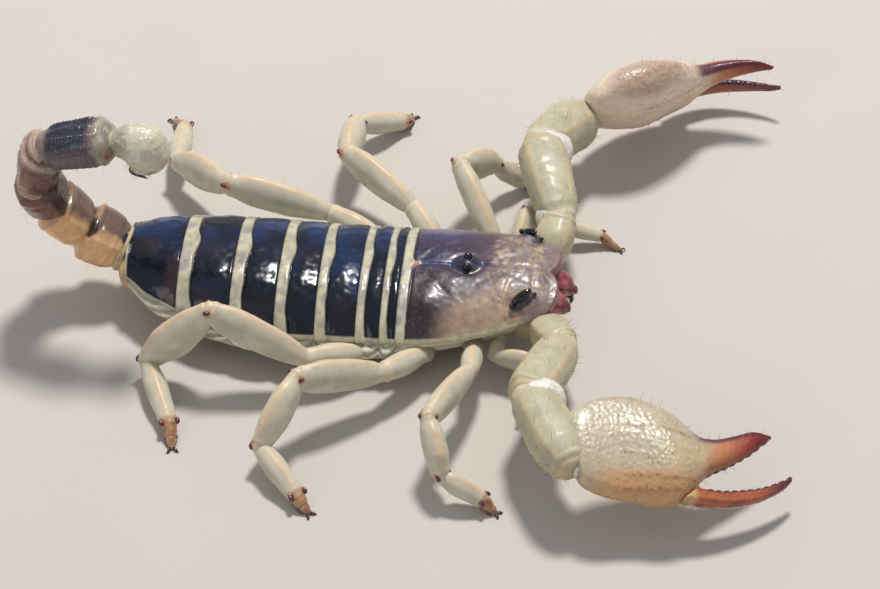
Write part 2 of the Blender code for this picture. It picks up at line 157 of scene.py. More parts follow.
def cell_values(cells: Array, seed: int) -> Array:
    """Even random numbers from 0 to 1, by an integer hash.

    Args:
        cells: whole-number places of cells, in a last axis of three.
        seed: another seed gives other numbers.

    Returns:
        Three numbers for each cell.
    """
    c = cells.astype(np.int64)
    h = (c[..., 0] * 73856093) ^ (c[..., 1] * 19349663) ^ (c[..., 2] * 83492791) ^ (seed * 15485863)
    out = []
    for _ in range(3):
        h = ((h ^ (h >> 15)) * 1103515245 + 12345) & 0x7FFFFFFF
        out.append((h >> 7) % 65536 / 65536.0)
    return np.stack(out, axis=-1)


def clouds(points: Array, size: float, seed: int) -> Array:
    """Smooth noise: random values at the corners of cubes, blended by t * t * (3 - 2 t).

    Args:
        points: places in mm.
        size: side of the cubes in mm.
        seed: another seed gives other clouds.

    Returns:
        A value from -1 to 1 for each point.
    """
    scaled = points / size
    cell = np.floor(scaled)
    t = scaled - cell
    t = t * t * (3.0 - 2.0 * t)
    total = np.zeros(points.shape[:-1])
    for corner in product((0, 1), repeat=3):
        share = np.prod(np.where(np.array(corner) == 1, t, 1.0 - t), axis=-1)
        total += share * cell_values(cell + np.array(corner), seed)[..., 0]
    return 2.0 * total - 1.0


def granules(points: Array, spacing: float, seed: int) -> Array:
    """Domes of height 1 - (2 d)^2 for the distance d, in spacings, to the nearest of their middles.

    Args:
        points: places in mm.
        spacing: side in mm of the cubes that each hold one middle, at a random point.
        seed: another seed gives other domes.

    Returns:
        A height from 0 to 1 for each point.
    """
    scaled = points / spacing
    cell = np.floor(scaled)
    nearest = np.full(points.shape[:-1], 4.0)
    for step in product((-1, 0, 1), repeat=3):
        corner = cell + np.array(step)
        seeds = corner + 0.15 + 0.7 * cell_values(corner, seed)
        nearest = np.minimum(nearest, np.linalg.norm(scaled - seeds, axis=-1))
    return np.maximum(1.0 - (2.0 * nearest) ** 2, 0.0)


# --- surfaces and pieces


class Ends(Enum):
    """How the first and the last ring of a surface are closed."""

    POLE = "a fan of triangles to one point"
    STRIP = "a strip between the two halves of the ring"


@dataclass
class Surface:
    """A closed grid of points in mm, rows along it and columns round it, with a colour at each."""

    points: Array
    ends: Ends = Ends.POLE
    tone: Array = field(default_factory=lambda: np.zeros(3))

    def normals(self) -> Array:
        """Outward directions, square to the grid's two ways, judged from the middle of each ring."""
        p = self.points
        out = unit(np.cross(np.gradient(p, axis=0), np.roll(p, -1, 1) - np.roll(p, 1, 1)))
        inside = np.sum(out * (p - p.mean(axis=1, keepdims=True)))
        return out if inside > 0 else -out

    def push(self, amount: Array) -> "Surface":
        """Moves every point along its normal by an amount in mm."""
        self.points = self.points + self.normals() * amount[..., None]
        return self

    def paint(self, code: str) -> "Surface":
        """Gives the whole surface one colour."""
        self.tone = np.broadcast_to(linear(code), self.points.shape).copy()
        return self

    def tint(self, code: str, share: Array) -> "Surface":
        """Mixes a colour into each point's own.

        Args:
            code: the colour, as sRGB hex.
            share: how much of it, from 0 to 1, for all points or for each.

        Returns:
            This surface.
        """
        share = np.clip(np.broadcast_to(share, self.points.shape[:2]), 0.0, 1.0)[..., None]
        self.tone = self.tone + (linear(code) - self.tone) * share
        return self

    def arrays(self) -> tuple[Array, Array, list[Array]]:
        """The mesh of this surface.

        Returns:
            Points, their colours, and arrays of faces whose normals point outwards.
        """
        rows, columns = self.points.shape[:2]
        points, tone = self.points.reshape(-1, 3), self.tone.reshape(-1, 3)
        here = np.arange(rows * columns).reshape(rows, columns)
        after = np.roll(here, -1, axis=1)
        faces = [np.stack((here[:-1], after[:-1], after[1:], here[1:]), -1).reshape(-1, 4)]
        if self.ends is Ends.POLE:
            poles = rows * columns + np.arange(2)[:, None] + np.zeros(columns, int)
            points = np.vstack((points, self.points[0].mean(0), self.points[-1].mean(0)))
            tone = np.vstack((tone, self.tone[0].mean(0), self.tone[-1].mean(0)))
            faces.append(np.stack((poles[0], after[0], here[0]), -1))
            faces.append(np.stack((poles[1], here[-1], after[-1]), -1))
        else:
            k = np.arange(columns // 2 - 1)
            other = columns - 1 - k
            faces.append(np.stack((here[0, k], here[0, other], here[0, other - 1], here[0, k + 1]), -1))
            faces.append(np.stack((here[-1, k], here[-1, k + 1], here[-1, other - 1], here[-1, other]), -1))
        volume, middle = 0.0, points.mean(0)
        for group in faces:
            corner = points[group] - middle
            for k in range(1, group.shape[1] - 1):
                volume += np.sum(corner[:, 0] * np.cross(corner[:, k], corner[:, k + 1]))
        return points, tone, faces if volume > 0 else [group[:, ::-1] for group in faces]


def animal_shift() -> Array:
    """Where the animal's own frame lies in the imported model's, from two of its solids."""
    belly_front, half_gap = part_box("abdomen")[1].x / MM, 0.15  # half the gap between the belly solids
    low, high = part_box("carapace")
    return np.array((belly_front + half_gap, (low.y + high.y) / 2 / MM, 0.0))


SHIFT = animal_shift()


def new_mesh(name: str, points: Array, faces: list[Array]) -> Thing:
    """Makes a smooth mesh object, with its place in the mesh and nothing below the floor.

    Args:
        name: the object's name.
        points: corners in mm in the animal's frame.
        faces: arrays of faces, one array for each number of corners.

    Returns:
        The object, in the scene.
    """
    placed = (points + SHIFT) * MM
    placed[:, 2] = np.maximum(placed[:, 2], 0.0)
    mesh = bpy.data.meshes.new(name)
    corners = np.concatenate([group.ravel() for group in faces]).astype(np.int32)
    sizes = np.concatenate([np.full(len(group), group.shape[1]) for group in faces])
    mesh.vertices.add(len(placed))
    mesh.vertices.foreach_set("co", placed.astype(np.float32).ravel())
    mesh.loops.add(len(corners))
    mesh.loops.foreach_set("vertex_index", corners)
    mesh.polygons.add(len(sizes))
    mesh.polygons.foreach_set("loop_start", (np.cumsum(sizes) - sizes).astype(np.int32))
    mesh.update(calc_edges=True)
    mesh.shade_smooth()
    thing = bpy.data.objects.new(name, mesh)
    bpy.context.scene.collection.objects.link(thing)
    return thing


def set_tone(thing: Thing, tone: Array) -> None:
    """Stores the points' linear colours in the attribute "tone", which the finishes read."""
    solid = np.hstack((tone, np.ones((len(tone), 1)))).astype(np.float32)
    thing.data.attributes.new("tone", "FLOAT_COLOR", "POINT").data.foreach_set("color", solid.ravel())


def make_piece(
    name: str,
    surfaces: list[Surface],
    material: Material,
    nodes: tuple[str, ...] = (),
    sharp_deg: float = 180.0,
) -> Thing:
    """Joins surfaces into one piece that rides on the body and stands for the CAD nodes it covers.

    Args:
        name: the piece's name.
        surfaces: its closed surfaces.
        material: its finish.
        nodes: the CAD nodes that it replaces.
        sharp_deg: edges that bend more than this stay crisp.

    Returns:
        The finished piece.
    """
    points, tones, faces, start = [], [], [], 0
    for surface in surfaces:
        p, tone, groups = surface.arrays()
        points.append(p)
        tones.append(tone)
        faces += [group + start for group in groups]
        start += len(p)
    kinds = ([group for group in faces if group.shape[1] == corners] for corners in (3, 4))
    thing = new_mesh(name, np.vstack(points), [np.concatenate(kind) for kind in kinds if kind])
    set_tone(thing, np.vstack(tones))
    if sharp_deg < 180.0:
        thing.data.set_sharp_from_angle(angle=math.radians(sharp_deg))
    return settle(thing, material, nodes)


def settle(thing: Thing, material: Material, nodes: tuple[str, ...] = ()) -> Thing:
    """Dresses a piece and ties it to the frame.

    Args:
        thing: the piece.
        material: its finish.
        nodes: the CAD nodes that it replaces.

    Returns:
        The piece.
    """
    thing.data.materials.append(material)
    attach(thing, "root")
    if nodes:
        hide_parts(*nodes)
    log.info("%s: %d faces", thing.name, len(thing.data.polygons))
    return thing


def sweep(centres: Array, across: Array, up: Array, halves: Array, columns: int, power: float = 2.0) -> Array:
    """Carries a squared oval along a path.

    A point is centre + across * a * cos^(2/p) + up * b * sin^(2/p), each power keeping its sign.

    Args:
        centres: rows x 3.
        across: one direction or rows x 3.
        up: one direction or rows x 3.
        halves: rows x 2, half sizes across and up.
        columns: points round each section.
        power: 2 is an oval, more is squarer.

    Returns:
        rows x columns x 3.
    """
    turn = turns(columns)
    flat = np.sign(np.cos(turn)) * np.abs(np.cos(turn)) ** (2.0 / power)
    high = np.sign(np.sin(turn)) * np.abs(np.sin(turn)) ** (2.0 / power)
    across = np.broadcast_to(across, centres.shape)[:, None]
    up = np.broadcast_to(up, centres.shape)[:, None]
    wide, tall = (halves[:, None, k, None] for k in (0, 1))
    return centres[:, None] + across * wide * flat[:, None] + up * tall * high[:, None]


def round_off(rings: Array, reach_start: float, reach_end: float, rows: int = 9) -> Array:
    """Closes a tube with a quarter of an oval at each end.

    Each added ring is the end ring scaled by sin(a) about its middle and moved out by reach * cos(a).

    Args:
        rings: rows x columns x 3.
        reach_start: how far the first end reaches out.
        reach_end: how far the last end does.
        rows: rings added at each end.

    Returns:
        All the rings in order.
    """
    turn = np.radians(np.linspace(5.0, 90.0, rows, endpoint=False))
    parts = []
    for end, inner, reach in ((rings[0], rings[1], reach_start), (rings[-1], rings[-2], reach_end)):
        middle = end.mean(0)
        shift = unit(middle - inner.mean(0)) * (reach * np.cos(turn))[:, None]
        parts.append(middle + (end - middle) * np.sin(turn)[:, None, None] + shift[:, None])
    return np.concatenate((parts[0], rings, parts[1][::-1]))


@dataclass(frozen=True)
class Link:
    """One straight stretch of a limb between two joints, with its directions across and up."""

    start: Array
    end: Array
    sideways: Array | None = None

    @property
    def length(self) -> float:
        """Its length in mm."""
        return float(np.linalg.norm(self.end - self.start))

    @property
    def axes(self) -> tuple[Array, Array, Array]:
        """Directions along, across and up; across is level unless a sideways direction is given."""
        way = unit(self.end - self.start)
        side = np.cross(way, UP) if self.sideways is None else self.sideways
        across = unit(side - way * np.dot(side, way))
        return way, across, np.cross(across, way)

    def tube(
        self, girth: tuple, caps: tuple[float, float], size: tuple[int, int], power: float = 2.0
    ) -> Surface:
        """A rounded tube along the link.

        Args:
            girth: rows of place from 0 to 1, half thickness across and half height.
            caps: how far the two round ends reach past the joints.
            size: rows and columns.
            power: how square the section is.

        Returns:
            The closed surface.
        """
        place = np.linspace(0.0, 1.0, size[0])
        halves = smooth_table(girth, place)
        centres = self.start + (self.end - self.start) * place[:, None]
        _, across, up = self.axes
        rings = sweep(centres, across, up, halves, size[1], power)
        return Surface(round_off(rings, *caps))

    def local(self, points: Array) -> tuple[Array, Array, Array]:
        """For each point its place along from 0 to 1, and its distances across and up in mm."""
        along, across, up = np.moveaxis((points - self.start) @ np.array(self.axes).T, -1, 0)
        return along / self.length, across, up


def links_through(points: Array, sideways: Array | None = None) -> list[Link]:
    """The straight stretches from each point to the next."""
    return [Link(a, b, sideways) for a, b in zip(points[:-1], points[1:])]


def chain(hip: Array, lengths: tuple, pose: tuple) -> list[Link]:
    """Lays out a limb's segments from its hip.

    Args:
        hip: where it starts.
        lengths: each segment's length.
        pose: each segment's bearing in degrees and the height of its end.

    Returns:
        The segments.
    """
    points = [np.array(hip, float)]
    for length, (bearing, height) in zip(lengths, pose):
        rise, turn = height - points[-1][2], math.radians(bearing)
        run = math.sqrt(length * length - rise * rise)
        points.append(points[-1] + np.array((run * math.cos(turn), run * math.sin(turn), rise)))
    return links_through(np.array(points))


def dome(centre: Array, out: Array, along: Array, halves: Triple, size: int = 14) -> Surface:
    """A full egg shape, such as a joint's knob or a lens.

    Args:
        centre: its middle.
        out: the direction it stands out.
        along: its long direction.
        halves: half sizes along, across and out.
        size: rows, with twice as many columns.

    Returns:
        The closed surface.
    """
    out = unit(out)
    along = unit(along - out * np.dot(along, out))
    across = np.cross(out, along)
    turn = np.radians(np.linspace(6.0, 174.0, size))
    middles = centre - out * (halves[2] * np.cos(turn))[:, None]
    widths = np.stack((halves[0] * np.sin(turn), halves[1] * np.sin(turn)), -1)
    return Surface(sweep(middles, along, across, widths, 2 * size))


def taper(points: Array, radii: Array, columns: int = 14) -> Surface:
    """A round tapering horn through a smooth run of points.

    Args:
        points: a few points along its middle.
        radii: its radius at each.
        columns: points round each section.

    Returns:
        The closed surface.
    """
    table = np.column_stack((np.arange(len(points)), points, radii))
    read = smooth_table(table, np.linspace(0, len(points) - 1, 10 * len(points)))
    centres, radius = read[:, :3], read[:, 3]
    way = unit(np.gradient(centres, axis=0))
    across = unit(np.cross(way, UP + 0.01))
    rings = sweep(centres, across, np.cross(across, way), np.stack((radius, radius), -1), columns)
    return Surface(round_off(rings, radii[0], radii[-1], 4))


def pleat(skin: Surface, joint: Array, way: Array, pitch: float, depth: float) -> Array:
    """Pushes pleats into a joint's skin, as sines along a way.

    Args:
        skin: the skin.
        joint: where the pleats are counted from.
        way: the direction across them.
        pitch: their spacing in mm.
        depth: their depth in mm.

    Returns:
        1 in the grooves, 0 on the folds; callers use it to paint shade into the grooves.
    """
    folds = np.sin(2.0 * np.pi * ((skin.points - joint) @ way) / pitch)
    skin.push(depth * folds)
    return ramp(-folds, 0.2, 1.0)


# --- finishes


def add_node(
    tree: bpy.types.NodeTree, kind: str, settings: dict | None = None, links: dict | None = None
) -> bpy.types.Node:
    """Adds a node to a tree.

    Args:
        tree: the material's nodes.
        kind: the node's type.
        settings: values by property name, or by input name or number.
        links: the output socket that feeds each input, by name or number.

    Returns:
        The node.
    """
    node = tree.nodes.new(kind)
    for key, value in (settings or {}).items():
        if isinstance(key, str) and hasattr(node, key):
            setattr(node, key, value)
        else:
            node.inputs[key].default_value = value
    for key, output in (links or {}).items():
        tree.links.new(output, node.inputs[key])
    return node


def new_material(name: str) -> tuple[Material, bpy.types.NodeTree, bpy.types.NodeSocket]:
    """Starts a finish.

    Args:
        name: the real material's name.

    Returns:
        The material, its nodes, and the socket of places on the piece, which its patterns read.
    """
    made = bpy.data.materials.new(name)
    made.use_nodes = True
    return made, made.node_tree, add_node(made.node_tree, "ShaderNodeTexCoord").outputs["Object"]


@dataclass(frozen=True)
class Cuticle:
    """A sheet of chitin, grown by the animal and dried glossy, coloured by each point's own tone.

    Its colour is mottled by noise, its gloss is uneven, and its bump adds pebbles and a fine skin grain.
    Spacings are in mm. The subsurface share says how much light passes through it.
    """

    name: str
    roughness: tuple[float, float] = (0.25, 0.4)
    mottle: float = 0.18  # how much darker the mottling gets
    mottle_mm: float = 0.9
    speck: str = "#5a4632"
    speck_share: float = 0.25
    speck_mm: float = 0.35
    pebble_mm: float = 0.4
    pebble_depth_mm: float = 0.01
    grain_mm: float = 0.12
    grain_depth_mm: float = 0.004
    through: float = 0.0
    through_mm: float = 0.5
    through_tint: Triple = (1.0, 0.72, 0.45)
    coat: float = 0.2
    ior: float = 1.54  # chitin

    def material(self) -> Material:
        """Builds the nodes: tone, times mottling, then specks, with roughness and bump from noise.

        Returns:
            The finish, ready for a piece.
        """
        made, tree, place = new_material(self.name)
        tone = add_node(tree, "ShaderNodeAttribute", {"attribute_name": "tone"}).outputs["Color"]
        noises = []
        for size_mm, detail in ((self.mottle_mm, 4.0), (self.mottle_mm * 0.6, 3.0), (self.grain_mm, 2.0)):
            settings = {"Scale": 1.0 / (size_mm * MM), "Detail": detail}
            noises.append(add_node(tree, "ShaderNodeTexNoise", settings, {"Vector": place}).outputs["Fac"])
        cells = []
        rounded_cells = {"feature": "SMOOTH_F1", "Smoothness": 0.6}
        for size_mm, more in ((self.speck_mm, {}), (self.pebble_mm, rounded_cells)):
            settings = {**more, "Scale": 1.0 / (size_mm * MM)}
            node = add_node(tree, "ShaderNodeTexVoronoi", settings, {"Vector": place})
            cells.append(node.outputs["Distance"])
        spans = (
            (noises[0], 0.3, 0.7, 1.0 - self.mottle, 1.0 + self.mottle / 2),
            (noises[1], 0.3, 0.7, *self.roughness),
            (cells[0], 0.12, 0.3, self.speck_share, 0.0),
        )  # each value, then the span that it is stretched from and to
        shade, gloss, flecks = (
            add_node(tree, "ShaderNodeMapRange", dict(enumerate(limits, 1)), {0: value}).outputs[0]
            for value, *limits in spans
        )
        colour, settings = tone, {"data_type": "RGBA"}
        for more, links in (
            ({"blend_type": "MULTIPLY", 0: 1.0}, {7: shade}),
            ({7: (*linear(self.speck), 1.0)}, {0: flecks}),
        ):
            colour = add_node(tree, "ShaderNodeMix", {**settings, **more}, {6: colour, **links}).outputs[2]
        normal = {}
        for height, depth_mm, sunk in (
            (cells[1], self.pebble_depth_mm, True),
            (noises[2], self.grain_depth_mm, False),
        ):
            settings = {"invert": sunk, "Strength": 1.0, "Distance": depth_mm * MM}
            bump = add_node(tree, "ShaderNodeBump", settings, {"Height": height, **normal})
            normal = {"Normal": bump.outputs["Normal"]}
        shader = tree.nodes["Principled BSDF"]
        shader.subsurface_method = "RANDOM_WALK"
        for socket, output in {"Base Color": colour, "Roughness": gloss, **normal}.items():
            tree.links.new(output, shader.inputs[socket])
        plain = {
            "Subsurface Weight": self.through,
            "Subsurface Radius": self.through_tint,
            "Subsurface Scale": self.through_mm * MM,
            "Coat Weight": self.coat,
            "Coat Roughness": 0.12,
            "IOR": self.ior,
        }
        for socket, value in plain.items():
            shader.inputs[socket].default_value = value
        return made


# Tanned chitin of the back: hard, near black and polished, so it mirrors the light in broken patches.
TANNED = Cuticle(
    "tanned_chitin_polished", (0.13, 0.27), 0.35, 1.1, "#46465a", 0.08, 0.5, 0.7, 0.03, 0.16, 0.004,
    0.05, 0.3, coat=0.06, ior=1.4,
)
# Head shield: thinner tanned chitin, marbled by the muscles that show through it.
SHIELD = Cuticle(
    "head_shield_chitin", (0.3, 0.46), 0.25, 0.7, "#c9b8a4", 0.1, 0.42, 0.5, 0.01, 0.14, 0.005,
    0.18, 0.35, coat=0.15,
)
# Untanned chitin of the legs: like warm wax, with light passing well into it and a wet streak on top.
WAXY = Cuticle(
    "waxy_leg_chitin", (0.44, 0.6), 0.1, 1.4, "#a08a64", 0.12, 0.3, 0.5, 0.008, 0.12, 0.004,
    0.5, 0.9, (1.0, 0.84, 0.68), 0.08,
)
# Claw hands: thick untanned chitin covered with low pebbles that each hold a glint.
PEBBLED = Cuticle(
    "pebbled_hand_chitin", (0.3, 0.44), 0.12, 0.8, "#8a5a3c", 0.2, 0.4, 0.42, 0.06, 0.12, 0.004,
    0.35, 0.7, (1.0, 0.8, 0.6), 0.15, 1.48,
)
# Fingers, claws and sting: chitin hardened with zinc and manganese, dark red and polished by use.
HARDENED = Cuticle(
    "hardened_claw_chitin", (0.2, 0.34), 0.3, 0.6, "#2a0e10", 0.3, 0.3, 0.35, 0.012, 0.1, 0.003,
    0.12, 0.3, (1.0, 0.4, 0.2), 0.5,
)
# Tail rings: half tanned, brown and slightly clear, rougher than the back.
HORNY = Cuticle(
    "horny_tail_chitin", (0.26, 0.42), 0.35, 0.7, "#2e201e", 0.3, 0.36, 0.36, 0.03, 0.12, 0.006,
    0.25, 0.6, coat=0.35,
)
# First tail rings: barely tanned, like clear amber with a wet gloss.
AMBER = Cuticle(
    "amber_tail_chitin", (0.24, 0.38), 0.16, 0.9, "#8a5a3a", 0.2, 0.4, 0.5, 0.02, 0.14, 0.005,
    0.45, 0.9, (1.0, 0.76, 0.52), 0.4,
)
# Skin between the plates: thin, pale and pleated, soft like damp parchment.
SKIN = Cuticle(
    "pleated_joint_skin", (0.36, 0.52), 0.2, 0.6, "#8d8a84", 0.25, 0.3, 0.3, 0.02, 0.1, 0.006,
    0.4, 0.6, coat=0.15,
)
# Venom bulb: the clearest chitin of all, cream over the glands.
BULB = Cuticle(
    "clear_bulb_chitin", (0.28, 0.42), 0.14, 0.8, "#eeead8", 0.45, 0.3, 0.35, 0.04, 0.12, 0.008,
    0.6, 1.0, (1.0, 0.86, 0.6), 0.3,
)
# Lenses: clear dark chitin domes with the sharpest gloss on the animal.
LENS = Cuticle(
    "eye_lens_chitin", (0.06, 0.12), 0.1, 0.5, "#0a1230", 0.2, 0.5, 0.6, 0.001, 0.2, 0.0005,
    coat=0.3,
)
# Bristles: stiff hollow hairs of dark red chitin, or of clear pale chitin on the tail.
BRISTLE = Cuticle(
    "bristle_chitin", (0.35, 0.5), 0.2, 0.4, "#2a1a14", 0.2, 0.2, 0.3, 0.001, 0.1, 0.001,
    0.2, 0.1, coat=0.0,
)


# --- bristles


@dataclass
class Bristles:
    """Stiff hairs that stand on a surface, gathered for one joined mesh."""

    name: str
    tone: str
    grown: list[tuple[Array, Array, Array]] = field(default_factory=list)  # roots, ways and lengths
    thick_mm: float = 0.035
    scatter: float = 0.35  # how far they lean, each its own way
    droop: float = 0.22  # how far the tip bends aside, as a share of the length

    def grow(
        self,
        surface: Surface,
        count: int,
        lengths: tuple[float, float],
        seed: int,
        weight: Array | None = None,
    ) -> None:
        """Chooses roots on a surface at random.

        Args:
            surface: where they stand.
            count: how many.
            lengths: shortest and longest, in mm.
            seed: for the random draw.
            weight: how likely each grid point is.
        """
        rng = np.random.default_rng(seed)
        share = np.ones(surface.points.shape[:2]) if weight is None else np.maximum(weight, 0.0)
        share = share.ravel() / share.sum()
        pick = rng.choice(len(share), size=count, p=share)
        out = surface.normals().reshape(-1, 3)[pick]
        out = unit(out + self.scatter * rng.normal(size=out.shape))
        self.grown.append((surface.points.reshape(-1, 3)[pick], out, rng.uniform(*lengths, count)))

    def build(self, slot: str) -> Thing:
        """Makes every bristle a bent three-sided needle, thinning as (1 - t)^0.7, in one mesh.

        Args:
            slot: not used.

        Returns:
            The piece, with each bristle on its own small patch of the map OFBake.
        """
        root, way, length = (np.concatenate(part) for part in zip(*self.grown))
        count, sides = len(root), 3
        t = np.array((0.0, 0.3, 0.62, 0.86))
        bend = unit(np.cross(way, np.roll(way, 1, axis=1) + 0.1))
        spread = np.cross(way, bend)
        run = length[:, None, None]
        aside = self.droop * bend[:, None] * (t**2)[:, None]
        path = root[:, None] + run * (way[:, None] * t[:, None] + aside)
        radius = self.thick_mm * (1.0 - t) ** 0.7
        turn = turns(sides)
        around = bend[:, None] * np.cos(turn)[:, None] + spread[:, None] * np.sin(turn)[:, None]
        rings = path[:, :, None] + around[:, None] * radius[:, None, None]
        tips = root + length[:, None] * (way + self.droop * bend)
        each = len(t) * sides + 1
        points = np.concatenate((rings.reshape(count, -1, 3), tips[:, None]), axis=1).reshape(-1, 3)
        grid = np.arange(len(t) * sides).reshape(len(t), sides)
        after = np.roll(grid, -1, axis=1)
        quads = np.stack((grid[:-1], after[:-1], after[1:], grid[1:]), -1).reshape(-1, 4)
        fan = np.stack((grid[-1], after[-1], np.full(sides, each - 1)), -1)
        triangles = np.vstack((fan, grid[0][::-1]))
        first = (np.arange(count) * each)[:, None, None]
        faces = [(triangles + first).reshape(-1, 3), (quads + first).reshape(-1, 4)]
        thing = new_mesh(self.name, points, faces)
        set_tone(thing, np.tile(linear(self.tone), (len(points), 1)))
        patch = 0.003  # side of each bristle's patch of the map
        low, high = root[:, :2].min(0), root[:, :2].max(0)
        home = 0.02 + 0.96 * (root[:, :2] - low) / np.maximum(high - low, 0.01)
        offset = np.zeros((each, 2))
        offset[:-1, 0] = np.tile(np.arange(sides) / sides, len(t)) * patch
        offset[:-1, 1], offset[-1, 1] = np.repeat(t, sides) * patch, patch
        spots = (home[:, None] + offset).reshape(-1, 2)
        corners = np.concatenate([group.ravel() for group in faces])
        layer = thing.data.uv_layers.new(name="OFBake")
        layer.data.foreach_set("uv", spots[corners].astype(np.float32).ravel())
        return settle(thing, BRISTLE.material())


# --- the trunk


@dataclass
class Trunk:
    """The shape of the body: half width, heights of back, side edge and belly at places along it."""

    sections: tuple = (
        (-27.6, 3.9, 7.3, 5.3, 3.3), (-25.0, 5.4, 7.6, 5.0, 2.5), (-22.0, 6.6, 7.9, 4.7, 1.9),
        (-17.0, 7.7, 8.1, 4.4, 1.4), (-12.0, 8.1, 8.1, 4.2, 1.2), (-6.0, 8.0, 8.0, 4.3, 1.4),
        (0.0, 8.1, 7.9, 4.5, 1.7), (4.0, 8.0, 8.2, 4.9, 1.8), (7.0, 7.5, 8.4, 5.4, 2.0),
        (10.0, 6.9, 8.6, 6.0, 2.4), (12.5, 6.1, 8.6, 6.6, 3.0), (14.6, 4.7, 8.1, 7.0, 3.8),
    )
    bend: float = 0.0038  # sideways bend of the rear trunk, per mm
    bend_start: float = -8.0
    edges: tuple[float, ...] = (-0.2, -1.75, -4.1, -8.1, -12.1, -16.6, -22.0, -27.6)  # of the back plates
    thick: float = 0.6  # of a plate

    def spine(self, x: Array) -> Array:
        """The sideways place of the middle line: bend * (distance behind the start of the bend)^2."""
        return self.bend * np.maximum(0.0, self.bend_start - x) ** 2

    @staticmethod
    def arch(v: Array) -> Array:
        """Height of the back from 0 to 1 at v from -1 to 1 across it: (1 - |v|^2.4)^0.75."""
        return np.maximum(1.0 - np.abs(v) ** 2.4, 0.0) ** 0.75

    def back(self, x: Array, v: Array) -> Array:
        """Points on the back, of height edge + (top - edge) * arch(v).

        Args:
            x: places along it.
            v: places across it, from -1 to 1.

        Returns:
            The points, in a last axis.
        """
        half, top, edge, _ = np.moveaxis(smooth_table(self.sections, x), -1, 0)
        return np.stack((x, self.spine(x) + half * v, edge + (top - edge) * self.arch(v)), -1)

    def plate(self, base: Array, rise: Array) -> Surface:
        """A shell plate whose upper side is the base raised along its normal.

        Args:
            base: rows x columns of points on the back, from the right edge to the left.
            rise: how far each is raised, in mm.

        Returns:
            A closed surface, the upper side first and the under side after it in each ring.
        """
        out = unit(np.cross(np.gradient(base, axis=0), np.gradient(base, axis=1)))
        out = out * np.sign(out[len(out) // 2, out.shape[1] // 2, 2])
        upper, under = base + out * rise[..., None], base + out * (rise - self.thick)[..., None]
        return Surface(np.concatenate((upper, under[:, ::-1]), axis=1), Ends.STRIP)


def both_sides(values: Array) -> Array:
    """Repeats a plate's upper values on its under side."""
    return np.concatenate((values, values[:, ::-1]), axis=1)


def plate_grid(rows: int, columns: int, share: float) -> tuple[Array, Array]:
    """Places on a plate, closer together at its edges.

    Along, a share of the spacing is (1 - cos) / 2 and the rest is even; across, all of it is a sine.

    Args:
        rows: how many along.
        columns: how many across.
        share: the uneven share.

    Returns:
        Places along from 0 to 1, and across from -1 to 1.
    """
    t = np.linspace(0.0, 1.0, rows)
    t = (1.0 - share) * t + share * (1.0 - np.cos(np.pi * t)) / 2.0
    return np.meshgrid(t, np.sin(np.radians(np.linspace(-90.0, 90.0, columns))), indexing="ij")


def from_sides(base: Array) -> Array:
    """Distance along a plate from each point to the nearer side edge.

    Args:
        base: rows x columns of points, from one edge to the other.

    Returns:
        Distances in mm.
    """
    steps = np.linalg.norm(np.diff(base, axis=1), axis=-1)
    run = np.concatenate((np.zeros((len(base), 1)), np.cumsum(steps, axis=1)), axis=1)
    return np.minimum(run, run[:, -1:] - run)


